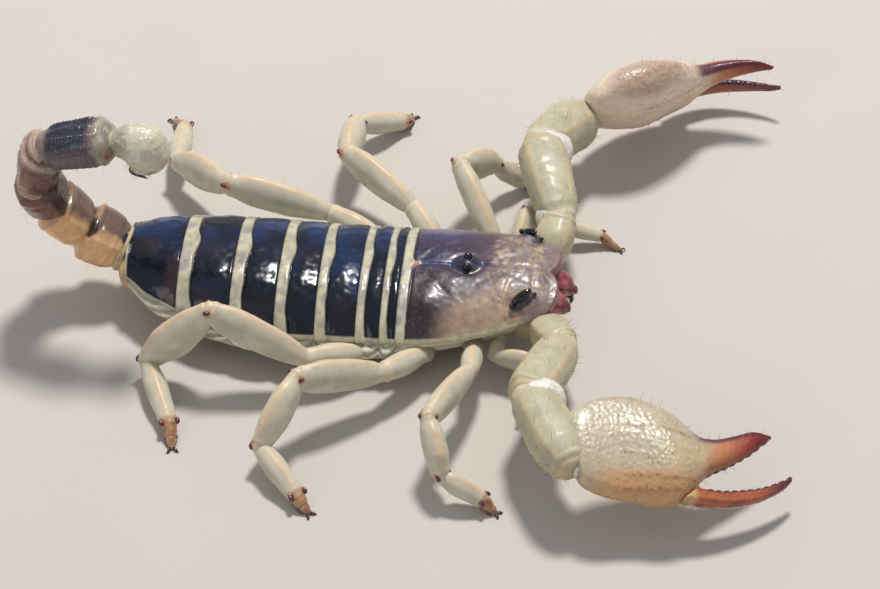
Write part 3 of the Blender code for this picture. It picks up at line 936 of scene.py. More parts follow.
@dataclass
class Tergites:
    """The seven dark back plates, each with a raised pale band along its rear edge."""

    trunk: Trunk
    bands: tuple[float, ...] = (0.75, 0.85, 1.0, 1.15, 1.25, 1.4, 0.3)  # mm wide, first plate to last
    columns: int = 120
    row_mm: float = 0.075
    overlap: float = 0.1

    def build(self) -> None:
        """Builds the seven plates, front to back."""
        finish = TANNED.material()
        for number in range(1, len(self.bands) + 1):
            self.plate(number, finish)

    def plate(self, number: int, finish: Material) -> None:
        """Builds one plate: navy with brown patches, clear brown near the sides, pale band and side rim.

        The rise is a quarter-round rim, a front edge tucked under the plate before it, a low arch from
        front to rear, the raised band with a groove before it, and slow dents that break up the gloss.

        Args:
            number: 1 at the head shield to 7 at the tail.
            finish: its material.
        """
        front, rear = self.trunk.edges[number - 1] + 0.3, self.trunk.edges[number] - self.overlap
        band = self.bands[number - 1]
        t, v = plate_grid(max(30, round((front - rear) / self.row_mm)), self.columns, 0.4)
        x = front + (rear - front) * t
        base = self.trunk.back(x, v)
        side, behind, ahead = from_sides(base), front - x, x - rear
        width = band * (0.92 + 0.25 * bell(v, 0.06, 0.2) + 0.4 * np.abs(v) ** 7)
        width += 0.09 * clouds(base, 1.3, 40 + number) * min(band, 1.0)
        in_band = ramp(width + 0.07 - ahead, 0.0, 0.12)
        groove = bell(ahead - width, 0.12, 0.12)
        arch = np.sin(np.pi * np.clip((ahead - width) / (front - rear - width), 0.0, 1.0))
        rise = rounded(ahead, 0.16) + rounded(side, 0.25) - 0.3 * (1.0 - ramp(behind, 0.1, 0.55))
        rise += 0.12 * in_band * ramp(ahead, 0.0, 0.3) - 0.09 * groove + 0.14 * arch
        dents = 0.7 * clouds(base, 1.5, 7 * number) + 0.8 * clouds(base, 0.75, 9 * number)
        rise += (0.055 - 0.03 * in_band) * (dents + 0.3 * clouds(base, 0.4, number))
        shell = self.trunk.plate(base, rise).paint("#0e1624")
        blue, brown = clouds(base, 2.2, 3), clouds(base, 2.8, 5)
        late, rim = (0.35, 0.55) if number < 7 else (1.0, 0.3)
        pale = np.maximum(in_band, ramp(side, rim + 0.12, rim))
        lilac = ramp(clouds(base, 0.8, 21) + 0.5 * clouds(base, 0.35, 22), -0.1, 0.6)
        away = np.clip(1.0 - bell(v, 0.08, 0.18) - bell(np.abs(v), 1.0, 0.25), 0.15, 1.0)
        for code, share in (
            # the plates' own blue, made stronger on the far side as a painted sheen where the key lamp falls
            ("#1e3768", 0.8 * ramp(0.7 * blue + 0.6 * v, -0.2, 0.8)),
            ("#38272c", late * ramp(brown - 0.5 * v, 0.1, 0.9)),
            ("#4f444a", 0.8 * ramp(side, 1.5, 0.5) * ramp(v, 0.0, 0.6)),
            # painted shade: the groove before the pale band is tinted near black
            ("#05060c", 0.8 * groove),
            ("#c0baa2", pale),
            ("#938d96", 0.6 * in_band * lilac * away),
            # painted shade: the pale band turns greyer where its rear lip rolls down
            ("#a39c88", pale * 0.6 * ramp(ahead, 0.12, 0.0)),
        ):
            shell.tint(code, both_sides(share))
        name, node = f"back_plate_{number}", f"tergite_{number}"
        make_piece(name, [shell], finish, (node,), PLATE_EDGE_DEG)


@dataclass
class HeadShield:
    """The carapace, with its furrows, eye hillock, two front lobes and pale margins."""

    trunk: Trunk
    rear: float = -0.28
    front: float = 14.5
    lobe: float = 0.8  # how far the lobes pass the notch between them
    size: tuple[int, int] = (200, 170)
    swellings: tuple = (
        (0.22, (2.3, 4.6), (1.1, 1.3)), (0.1, (3.6, 2.1), (1.6, 1.2)), (0.16, (9.9, 2.6), (1.1, 1.1)),
        (-0.12, (12.7, 1.6), (0.3, 1.5)),
    )  # height, middle along and across, widths along and across
    side_eye: tuple[float, float] = (11.9, 4.45)  # middle of the swelling under the side eyes
    eye_shift: float = 0.25  # of both swellings to the left

    def build(self) -> None:
        """Builds the shield from its rise and its colours."""
        t, v = plate_grid(*self.size, 0.25)
        reach = self.front + self.lobe * (1.0 - ((np.abs(v) - 0.5) / 0.5) ** 2) - self.rear
        base = self.trunk.back(self.rear + reach * t, v)
        from_front = reach * (1.0 - t)
        shell = self.trunk.plate(base, self.rise(base, from_front))
        self.colour(shell.paint("#3a2a38"), base, from_front)
        make_piece("head_shield", [shell], SHIELD.material(), ("carapace",), PLATE_EDGE_DEG)

    def band(self, y: Array) -> Array:
        """Where the pale rear band ends ahead, with a small tooth in the middle."""
        return 0.72 + 0.35 * bell(y, 0.0, 0.4)

    def rise(self, base: Array, from_front: Array) -> Array:
        """Height added to the smooth back.

        It sums quarter-round rims, the rear band, the furrow down the middle, two slanting furrows
        behind with a swelling outside each, the eye hillock (a dome (1 - r^2)^2), the swellings under the
        side eyes, two curved furrows in front, and granules near the front and the sides.

        Args:
            base: points of the smooth back.
            from_front: distance to the front edge.

        Returns:
            The rise of each point in mm.
        """
        x, y = base[..., 0], base[..., 1]
        wide, side, band = np.abs(y), from_sides(base), self.band(y)
        rise = rounded(x - self.rear, 0.18) + rounded(side, 0.3) + rounded(from_front, 0.3)
        rise += 0.12 * ramp(band - x, -0.06, 0.06) * ramp(x, self.rear, self.rear + 0.3)
        rise -= 0.1 * bell(x, band + 0.14, 0.13)
        hill = np.maximum(1.0 - ((x - 6.1) / 1.5) ** 2 - (y / 1.25) ** 2, 0.0) ** 2
        rise += 0.42 * hill - 0.1 * bell(np.hypot((x - 6.1) / 1.25, y), 1.3, 0.3)
        rise -= 0.16 * bell(y, 0.0, 0.16) * span(x, 1.0, 1.8, 8.0, 9.6) * (1.0 - hill)
        rise -= 0.05 * bell(y, 0.0, 0.3) * ramp(x, 8.0, 9.6)
        for depth, line, width, start, end in (
            (0.12, x - 10.9 + 0.22 * wide, 0.28, ramp(wide, 1.6, 2.4), ramp(wide, 5.2, 4.2)),
            (0.07, wide - 0.3 - 1.15 * (x - 1.3), 0.6, ramp(x, 0.8, 1.6), ramp(wide, 4.6, 3.4)),
            (0.05, wide - 0.5 - 0.42 * (x - 8.6), 0.4, ramp(x, 8.4, 9.4), ramp(x, 13.6, 12.6)),
        ):
            rise -= depth * bell(line, 0.0, width) * start * end
        for height, middle, widths in self.swellings:
            rise += height * spot(x, wide, middle, widths)
        rise += 0.6 * spot(x, np.abs(y - self.eye_shift), self.side_eye, (1.3, 0.85))
        rough = np.maximum(ramp(x, 7.0, 11.0), ramp(side, 2.6, 0.8)) * ramp(side, 0.3, 0.7)
        rise += 0.022 * granules(base, 0.45, 61) * rough
        return rise + 0.035 * clouds(base, 1.0, 62) + 0.02 * clouds(base, 0.4, 63)

    def colour(self, shell: Surface, base: Array, from_front: Array) -> None:
        """Colours the shield: dark behind, marbled tan and lilac in front, cream along the margins.

        Args:
            shell: the shield.
            base: points of the smooth back.
            from_front: distance to the front edge.
        """
        x, y = base[..., 0], base[..., 1]
        near, side, band = -y, from_sides(base), self.band(y)
        drift = clouds(base, 1.6, 71)
        fine = clouds(base, 0.55, 72) + 0.5 * clouds(base, 0.25, 73)
        tan = ramp(near + 0.16 * (x - 4.0) + 0.6 * drift, 3.0, 5.8) * ramp(x + 0.35 * (near - 5.0), 3.2, 6.4)
        marbled = ramp(fine + 0.5 * drift, 0.0, 0.8) * ramp(x, 7.8, 9.2)
        hill = np.maximum(1.0 - ((x - 6.15) / 1.15) ** 2 - (y / 1.35) ** 2, 0.0)
        off = np.abs(y - self.eye_shift) - self.side_eye[1]
        ahead, aside = ((x - self.side_eye[0] + turn * off) / 1.5 for turn in (-1.0, 1.0))
        pale = ramp(band + 0.05 * fine - x, -0.05, 0.05)
        lilac = ramp(clouds(base, 0.8, 21), -0.1, 0.6) * (1.0 - bell(y, 0.6, 1.4)) * ramp(side, 0.6, 2.0)
        patches = ((10.0, 1.3, 1.1), (9.7, -1.5, 1.2), (12.8, 2.3, 0.8), (12.9, -2.0, 0.8))
        for code, share in (
            ("#2a2140", 0.8 * bell(y, 0.8, 2.4) * ramp(x, 7.5, 5.0)),
            # the shield's own blue-violet on the far side, made lighter there as a painted sheen
            ("#474570", 0.75 * ramp(y + 0.7 * drift, 2.6, 5.5) * ramp(x, 9.0, 5.5)),
            ("#241620", 0.95 * ramp(near + 0.6 * drift, 0.6, 2.0) * ramp(x + 0.1 * near, 5.8, 3.0)),
            ("#53404e", 0.85 * ramp(x + 0.7 * drift, 5.4, 8.2)),
            ("#8a7872", 0.85 * ramp(x + 0.9 * drift, 7.6, 10.4)),
            ("#a78d75", 0.9 * tan * ramp(x, 12.8, 11.2)),
            ("#8d7f7c", 0.7 * ramp(y + 0.5 * drift, 4.6, 6.6) * ramp(x, 0.6, 3.0)),
            ("#b39a80", 0.8 * marbled * ramp(from_front, 1.0, 2.0)),
            ("#6a5a66", 0.7 * ramp(-fine + 0.3 * drift, 0.1, 0.8) * ramp(x, 8.2, 10.2)),
            *(
                ("#bda78c", 0.6 * spot(x, y, (along, across), (wide, wide)) * ramp(fine, -0.5, 0.5))
                for along, across, wide in patches
            ),
            ("#262f62", 0.8 * bell(y, 0.1, 0.35) * span(x, 1.2, 2.2, 7.4, 8.6)),
            ("#3c4a8c", 0.5 * ramp(fine - 0.2, 0.0, 0.6) * bell(y, 1.2, 1.3) * ramp(x, 5.2, 3.8)),
            ("#0e1430", 0.95 * ramp(hill, 0.05, 0.35)),
            ("#1d1830", 0.85 * ramp(np.hypot(ahead / 1.15, aside / 0.62), 1.35, 0.95)),
            ("#7d3c44", 0.6 * ramp(from_front, 0.45, 0.15)),
            ("#c2b89e", ramp(side, 0.75, 0.5) * ramp(x, 12.2, 10.4)),
            ("#b9ad8c", 0.6 * ramp(side, 1.5, 0.7) * span(x, 4.0, 7.0, 10.6, 11.8)),
            # painted shade: the furrow behind the pale band is tinted near black
            ("#05060c", 0.7 * bell(x, band + 0.14, 0.12) * ramp(side, 0.4, 1.0)),
            ("#c3bda6", pale),
            ("#8f8c96", 0.7 * pale * lilac),
            ("#d9a089", 0.9 * spot(x, y, (0.9, 0.0), (0.45, 0.32))),
        ):
            shell.tint(code, both_sides(share))


@dataclass
class SoftBody:
    """The skin of the flanks and the belly, one piece from the tail to the jaws, with its belly plates."""

    trunk: Trunk
    flank: tuple = (
        (-27.6, 0.0), (-24.0, 0.4), (-12.0, 0.7), (-6.0, 0.7), (-1.0, 0.5), (3.0, -0.6), (13.0, -1.6)
    )  # x, and how far the skin stands out past the back plates
    belly_plates: tuple[float, ...] = (-4.5, -8.8, -13.2, -17.8, -22.4)  # their front edges
    pleat_mm: float = 0.62
    rear: float = -27.4
    front: float = 12.4
    size: tuple[int, int] = (300, 160)

    def build(self) -> None:
        """Builds the skin, with pleats as sines down the flanks and grooves across the belly."""
        rings = closed_curve(self.control(np.linspace(self.rear, self.front, self.size[0])), self.size[1])
        skin = Surface(round_off(rings, 1.5, 1.2, 10))
        p = skin.points
        x, y, z = np.moveaxis(p, -1, 0)
        _, _, edge, belly = np.moveaxis(smooth_table(self.trunk.sections, x), -1, 0)
        share = np.clip((edge - z) / (edge - belly), 0.0, 1.0)
        segment = np.interp(-x, -np.array(self.trunk.edges), np.arange(len(self.trunk.edges)))
        arc = np.sqrt(np.clip(np.sin(np.pi * (segment - np.floor(segment))), 0.0, 1.0))
        pleats = span(share, 0.0, 0.05, 0.4, 0.5) * ramp(x, 1.0, -0.5)
        wave = np.sin(2.0 * np.pi * (z + 0.75 * arc) / self.pleat_mm + 0.8 * clouds(p, 1.5, 81))
        rise = pleats * (0.08 * wave + 0.45 * (arc - 0.6))
        under = ramp(share, 0.86, 0.97)
        aside = bell(np.abs(y - self.trunk.spine(x)), 3.6, 0.6)
        for plate in self.belly_plates:
            rise -= 0.14 * under * bell(x, plate, 0.22) + 0.12 * under * bell(x, plate - 2.2, 0.16) * aside
        skin.push(rise + 0.02 * clouds(p, 0.5, 82)).paint("#cdc8b2")
        for code, part in (
            # painted shade in the grooves of the flank pleats, and painted highlight on their crests
            ("#8f8b7e", 0.6 * pleats * ramp(-wave, 0.0, 1.0)),
            ("#e2dece", 0.7 * pleats * ramp(wave, 0.3, 1.0)),
            ("#a8977e", ramp(share, 0.45, 0.75)),
            ("#bba581", under * ramp(clouds(p, 1.2, 83), -0.6, 0.6)),
            # painted shade in the grooves between the belly plates
            ("#6d5544", 0.6 * under * bell(rise, -0.14, 0.07)),
            ("#c9ac7c", ramp(x, -26.6, -27.6)),
        ):
            skin.tint(code, part)
        make_piece("soft_body", [skin], SKIN.material(), ("abdomen", "prosoma_underside"))

    def control(self, x: Array) -> Array:
        """Eighteen points of each ring: nine under the back, four down each flank and one below.

        Args:
            x: places along the trunk.

        Returns:
            rows x 18 x 3.
        """
        half, top, edge, belly = np.moveaxis(smooth_table(self.trunk.sections, x), -1, 0)
        out = smooth_table(self.flank, x)[:, 0]
        rim, crown = edge - 0.1, top - 0.75
        v = np.linspace(-1.0, 1.0, 9)
        wide = [(half - 0.3) * value for value in v]
        high = [rim + (crown - rim) * value for value in self.trunk.arch(v)]
        steps = ((0.0, 0.3), (-0.25, 0.55), (-1.5, 0.86), (-3.2, 1.0))
        flank = [(np.maximum(half + out + move, 0.8), rim + (belly - rim) * down) for move, down in steps]
        wide += [w for w, _ in flank] + [0.0 * x] + [-w for w, _ in reversed(flank)]
        high += [h for _, h in flank] + [belly] + [h for _, h in reversed(flank)]
        middle = self.trunk.spine(x)
        return np.stack([np.stack((x, middle + w, h), -1) for w, h in zip(wide, high)], axis=1)


def build_combs() -> None:
    """The two combs under the body, each a tapering plate with a row of rounded teeth."""
    finish = SKIN.material()
    for side, sign in SIDES.items():
        root, tip = np.array((1.0, sign * 1.2, 0.85)), np.array((-3.8, sign * 5.2, 0.85))
        stem = Link(root, tip)
        girth = ((0.0, 0.5, 0.28), (0.4, 0.7, 0.3), (1.0, 0.35, 0.22))
        parts = [stem.tube(girth, (0.3, 0.3), (30, 24)).paint("#c9a877")]
        across = stem.axes[1]
        back = across if across[0] < 0 else -across
        for k in range(18):
            place = root + (tip - root) * (0.1 + 0.05 * k)
            tooth = dome(place + back * 0.75, UP, back, (0.42, 0.12, 0.16), 7)
            parts.append(tooth.paint("#d8c79c"))
        make_piece(f"comb_{side}", parts, finish, (f"pectine_{side}",))


# --- the head


@dataclass
class Head:
    """The eyes, and the two jaws under the front of the shield."""

    trunk: Trunk
    median: Triple = (6.15, 0.72, 0.44)  # x, distance from the middle, radius
    lateral: Triple = (11.8, 4.75, 4.2)  # x, then left and right distance
    small_lenses: tuple = ((-0.85, 0.8, 0.28), (1.15, -0.6, 0.2))  # ahead, aside, radius
    lens: str = "#04060f"
    jaw: tuple = (
        (13.4, 5.1, 0.8, 0.9), (14.2, 5.25, 0.95, 1.1), (15.2, 5.45, 1.2, 1.4), (16.0, 5.3, 1.12, 1.25),
        (16.8, 4.95, 0.8, 0.95), (17.2, 4.65, 0.4, 0.5),
    )  # x, height of the middle, half width, half height
    jaw_spread: float = 1.3
    jaw_back: tuple[float, float] = (0.5, 1.0)  # how far the left and the right jaw are drawn back

    def on_back(self, x: float, y: float) -> tuple[Array, Array, Array]:
        """Where a part stands on the back.

        Args:
            x: its place along.
            y: its place across.

        Returns:
            The point, the way out there and the way across.
        """
        half = float(smooth_table(self.trunk.sections, np.array(x))[0])
        steps = np.array(((0.0, 0.0), (0.2, 0.0), (0.0, 0.2)))
        p = self.trunk.back(x + steps[:, 0], (y + steps[:, 1]) / half)
        return p[0], unit(np.cross(p[1] - p[0], p[2] - p[0])), unit(p[2] - p[0])

    def build(self) -> None:
        """Builds both eyes of each kind and both jaws."""
        glass, red, dark = LENS.material(), HARDENED.material(), HORNY.material()
        for side, sign in SIDES.items():
            x, y, radius = self.median
            here, out, _ = self.on_back(x, sign * y)
            eye = dome(here + out * 0.3, unit(out + 0.55 * sign * LEFT), FORWARD, (radius, radius, radius))
            make_piece(f"middle_eye_{side}", [eye.paint(self.lens)], glass, (f"median_eye_{side}",))
            x, y = self.lateral[0], self.lateral[1 if sign > 0 else 2]
            here, out, across = self.on_back(x, sign * y)
            slant = np.array((1.0, -0.95 * sign, 0.3))
            shrink = 0.8 if sign > 0 else 1.0
            halves = (1.15 * shrink, 0.44 * shrink, 0.44 * shrink)
            lenses = [dome(here + out * 0.9 * shrink, unit(out + 0.35 * sign * across), slant, halves, 24)]
            for ahead, aside, size in self.small_lenses:
                here, out, _ = self.on_back(x + ahead, sign * (y + aside))
                lenses.append(dome(here + out * 0.45, out, slant, (size, size, size)))
            lenses = [lens.paint(self.lens) for lens in lenses]
            make_piece(f"side_eyes_{side}", lenses, glass, (f"lateral_eyes_{side}",))
            self.build_jaw(side, sign, red, dark)

    def build_jaw(self, side: str, sign: float, red: Material, dark: Material) -> None:
        """Builds one jaw: a swollen red-pink base that ends in a fixed and a movable finger.

        Args:
            side: right or left.
            sign: -1 or 1.
            red: finish of the finger tips.
            dark: finish of the base.
        """
        x = np.linspace(self.jaw[0][0], self.jaw[-1][0], 60)
        read = smooth_table(self.jaw, x)
        back = self.jaw_back[0 if sign > 0 else 1]
        centres = np.stack((x - back, np.full_like(x, sign * self.jaw_spread), read[:, 0]), -1)
        rings = sweep(centres, LEFT, UP, read[:, 1:], 56, 2.3)
        base = Surface(round_off(rings, 0.4, 0.3))
        p = base.points
        crease = bell(p[..., 2] - 5.5 + 0.35 * (p[..., 0] - 15.5) + 0.12 * clouds(p, 0.5, 91), 0.0, 0.12)
        crease = crease * ramp(p[..., 0], 14.4, 15.2)
        base.push(0.05 * clouds(p, 0.7, 92) - 0.14 * crease)
        top = ramp(p[..., 2], 5.5, 6.5) * ramp(clouds(p, 0.6, 93), -0.6, 0.4)
        base.paint("#bf6c70").tint("#8a3242", 0.85 * top)
        # painted shade: the pushed-in crease is tinted near black
        base.tint("#cfa59c", ramp(p[..., 2], 5.0, 4.3)).tint("#2c0a12", 0.97 * crease)
        base.tint("#6f1e26", ramp(p[..., 0] + back, 16.3, 16.9))
        fingers = []
        for low, reach in ((0.35, 0.5), (-0.55, 0.65)):
            stops = (
                (16.2, sign * 1.2, 4.8 + low),
                (16.8, sign * 1.05, 4.3 + low),
                (16.9, sign * 0.85, 3.8 + 0.6 * low),
                (16.7, sign * 0.7, 3.5 + 0.4 * low - 0.2 * reach),
            )
            points = np.array(stops) - np.array((back, 0.0, 0.0))
            fingers.append(taper(points, np.array((0.34, 0.26, 0.15, 0.04))).paint("#4a1418"))
        make_piece(f"jaw_{side}", [base], dark, (f"chelicera_{side}",))
        make_piece(f"jaw_fingers_{side}", fingers, red)


# --- limbs


class LegTone(str, Enum):
    """Colours of a leg's waxy chitin."""

    CREAM = "#d0c8b4"
    CORE = "#b6b49e"
    RIM = "#cfb592"
    JOINT = "#cfbc9e"
    KNOB = "#5c1a2a"
    HALO = "#b56a48"
    TOE = "#b08560"
    TOE_DARK = "#8c4f34"


@dataclass
class Leg:
    """One walking leg, posed by its segments' bearings and end heights."""

    side: str
    number: int
    hip: Triple
    lengths: tuple[float, ...]
    pose: tuple
    girth: float
    bristles: Bristles
    trochanter: tuple = ((0.0, 0.85, 0.85), (0.5, 1.2, 1.3), (1.0, 0.95, 1.05))
    femur: tuple = (
        (0.0, 0.85, 0.92), (0.12, 1.08, 1.3), (0.4, 1.25, 1.8), (0.75, 1.25, 1.85), (1.0, 0.98, 1.25)
    )
    patella: tuple = (
        (0.0, 0.88, 1.1), (0.28, 1.25, 1.8), (0.62, 1.3, 2.0), (0.9, 1.02, 1.35), (1.0, 0.88, 1.1)
    )
    tibia: tuple = ((0.0, 0.8, 0.9), (0.4, 1.15, 1.25), (0.85, 0.95, 1.0), (1.0, 0.85, 0.9))
    basitarsus: tuple = ((0.0, 0.75, 0.8), (0.7, 0.7, 0.72), (1.0, 0.6, 0.62))
    telotarsus: tuple = ((0.0, 0.45, 0.5), (0.5, 0.5, 0.52), (1.0, 0.3, 0.34))

    @property
    def name(self) -> str:
        """The leg's name, such as left_leg_3."""
        return f"{self.side}_leg_{self.number}"

    def scaled(self, rows: tuple) -> tuple:
        """A girth table made thinner or thicker for this leg."""
        return tuple((place, a * self.girth, b * self.girth) for place, a, b in rows)

    def build(self, waxy: Material, hard: Material) -> Surface:
        """Builds the leg's pieces.

        Args:
            waxy: finish of the pale segments.
            hard: finish of the joint knobs and the toes.

        Returns:
            Its coxa, which is joined with the others.
        """
        sign = SIDES[self.side]
        hip = np.array(self.hip) * (1.0, sign, 1.0)
        links = chain(hip, self.lengths, self.pose)
        node = f"leg_{self.side}_{self.number}"
        parts = (
            ("trochanter", self.trochanter, (34, 44), 8, "femur"),
            ("femur", self.femur, (84, 56), 26, "femur"),
            ("patella", self.patella, (76, 56), 26, "patella"),
            ("tibia", self.tibia, (60, 48), 26, "foot"),
        )
        for k, (part, girth, size, hairs, stands_for) in enumerate(parts):
            surface = self.segment(links[k], self.scaled(girth), size, part)
            make_piece(f"{self.name}_{part}", [surface], waxy, (f"{node}_{stands_for}",))
            self.bristles.grow(surface, hairs, (0.25, 0.6), 100 * self.number + k)
        make_piece(f"{self.name}_toes", self.toes(links[4]), hard, (f"{node}_foot",))
        knobs = [knob for k in (1, 2, 3) for knob in self.knobs(links[k], links[k + 1])]
        make_piece(f"{self.name}_joint_knobs", knobs, hard)
        inner = np.array((0.78 * self.hip[0] + 0.6, sign * 1.7, self.hip[2] - 0.9))
        girth = self.scaled(((0.0, 0.9, 0.8), (0.6, 1.3, 1.15), (1.0, 1.1, 1.05)))
        coxa = Link(inner, hip).tube(girth, (0.6, 0.7), (44, 40))
        coxa.push(0.05 * clouds(coxa.points, 0.8, 5)).paint("#9f917c")
        return coxa.tint("#c4b693", ramp(clouds(coxa.points, 1.1, 6), -0.2, 0.8))

    def segment(self, link: Link, girth: tuple, size: tuple[int, int], part: str) -> Surface:
        """A pale segment: keeled above and below, with a thicker lip at its far end.

        The keels are bells of the turn round the section, at its top and its bottom; the lip is a bell
        along the length, followed by a dip at the joint.

        Args:
            link: where it lies.
            girth: its sections.
            size: rows and columns.
            part: its name.

        Returns:
            The painted surface.
        """
        surface = link.tube(girth, (0.75 * girth[0][1], 0.8 * girth[-1][1]), size, 1.85)
        p = surface.points
        along, across, high = link.local(p)
        turn, mm = np.arctan2(high, across), along * link.length
        keel = bell(np.abs(turn), math.pi / 2, 0.28)
        ends = 0.07 * bell(mm, link.length - 0.35, 0.22) - 0.08 * bell(mm, link.length + 0.12, 0.22)
        body = span(along, 0.05, 0.2, 0.85, 0.97)
        lumps = 0.045 * clouds(p, 1.3, 11) + 0.012 * clouds(p, 0.45, 12)
        surface.push((0.07 * keel * body + ends) * self.girth + lumps).paint(LegTone.CREAM)
        core = ramp(np.abs(np.cos(turn)), 0.55, 0.95) * body
        p = surface.points
        surface.tint(LegTone.CORE, 0.75 * core * ramp(clouds(p * (1.0, 1.0, 1.6), 1.5, 13), -0.7, 0.5))
        surface.tint(LegTone.RIM, 0.75 * keel * (0.4 + 0.6 * body))
        surface.tint(LegTone.JOINT, 0.7 * np.maximum(ramp(along, 0.07, 0.0), ramp(along, 0.93, 1.0)))
        if part == "tibia":
            surface.tint(LegTone.TOE, 0.6 * ramp(along, 0.86, 1.02))
        if part != "trochanter":
            for place, _ in self.knob_places(link, link):
                away = np.linalg.norm(p - place, axis=-1)
                surface.tint(LegTone.HALO, 0.6 * ramp(away, 0.6 * self.girth, 0.25 * self.girth))
        return surface

    def knob_places(self, before: Link, after: Link) -> list[tuple[Array, Array]]:
        """Place and outward way of the two dark knobs that a joint turns on.

        Args:
            before: the segment that ends there.
            after: the segment that starts there.

        Returns:
            One pair for each side of the limb.
        """
        way = unit(before.axes[0] + after.axes[0])
        across = unit(np.cross(way, UP))
        up = np.cross(across, way)
        places = []
        for aside in (across, -across):
            place = before.end + (0.8 * aside + 0.42 * up) * self.girth
            places.append((place, unit(0.95 * aside + 0.45 * up)))
        return places

    def knobs(self, before: Link, after: Link) -> list[Surface]:
        """The two dark knobs of a joint, each beside a smaller orange one.

        Args:
            before: the segment that ends there.
            after: the segment that starts there.

        Returns:
            Four domes.
        """
        made, size = [], self.girth
        way = unit(before.axes[0] + after.axes[0])
        for place, out in self.knob_places(before, after):
            beside = place - way * 0.35 * size - out * 0.08
            for centre, halves, rows, tone in (
                (place, (0.36, 0.24, 0.26), 10, LegTone.KNOB),
                (beside, (0.22, 0.2, 0.16), 8, LegTone.HALO),
            ):
                made.append(dome(centre, out, way, tuple(half * size for half in halves), rows).paint(tone))
        return made

    def toes(self, link: Link) -> list[Surface]:
        """The two short orange-brown foot segments with their spines and two curved claws.

        Args:
            link: the foot's stretch of the leg.

        Returns:
            Their surfaces.
        """
        way, across, up = link.axes
        size, made = self.girth, []
        split = link.start + (link.end - link.start) * 0.5
        for start, end, girth, caps, grid in (
            (link.start, split, self.basitarsus, (0.4, 0.25), (24, 30)),
            (split, link.end, self.telotarsus, (0.3, 0.2), (24, 26)),
        ):
            surface = Link(start, end).tube(self.scaled(girth), caps, grid).paint(LegTone.TOE)
            dark = ramp(clouds(surface.points, 0.5, 15), -0.3, 0.7)
            made.append(surface.tint(LegTone.TOE_DARK, 0.7 * dark))
        for turn in (-1.0, 1.0):
            start = link.end + across * turn * 0.12 * size
            bow = way * 0.55 + across * turn * 0.35
            bends = ((0.0, 0.0), (0.6, 0.28), (1.15, 0.12), (1.4, -0.25))
            claw = np.array([start + bow * ahead * size + up * rise for ahead, rise in bends])
            made.append(taper(claw, np.array((0.17, 0.13, 0.08, 0.02)) * size, 10).paint("#4b1a16"))
            for k in range(5):
                place = link.start + (link.end - link.start) * (0.1 + 0.17 * k)
                root = place + (across * turn * 0.42 - up * 0.25) * size * (1.0 - 0.09 * k)
                tip = root + (across * turn * 0.3 + way * 0.4 - up * 0.3) * size
                spine = np.array((root, (root + tip) / 2 + across * turn * 0.03, tip))
                made.append(taper(spine, np.array((0.09, 0.06, 0.02)) * size, 6).paint("#3a1512"))
        return made


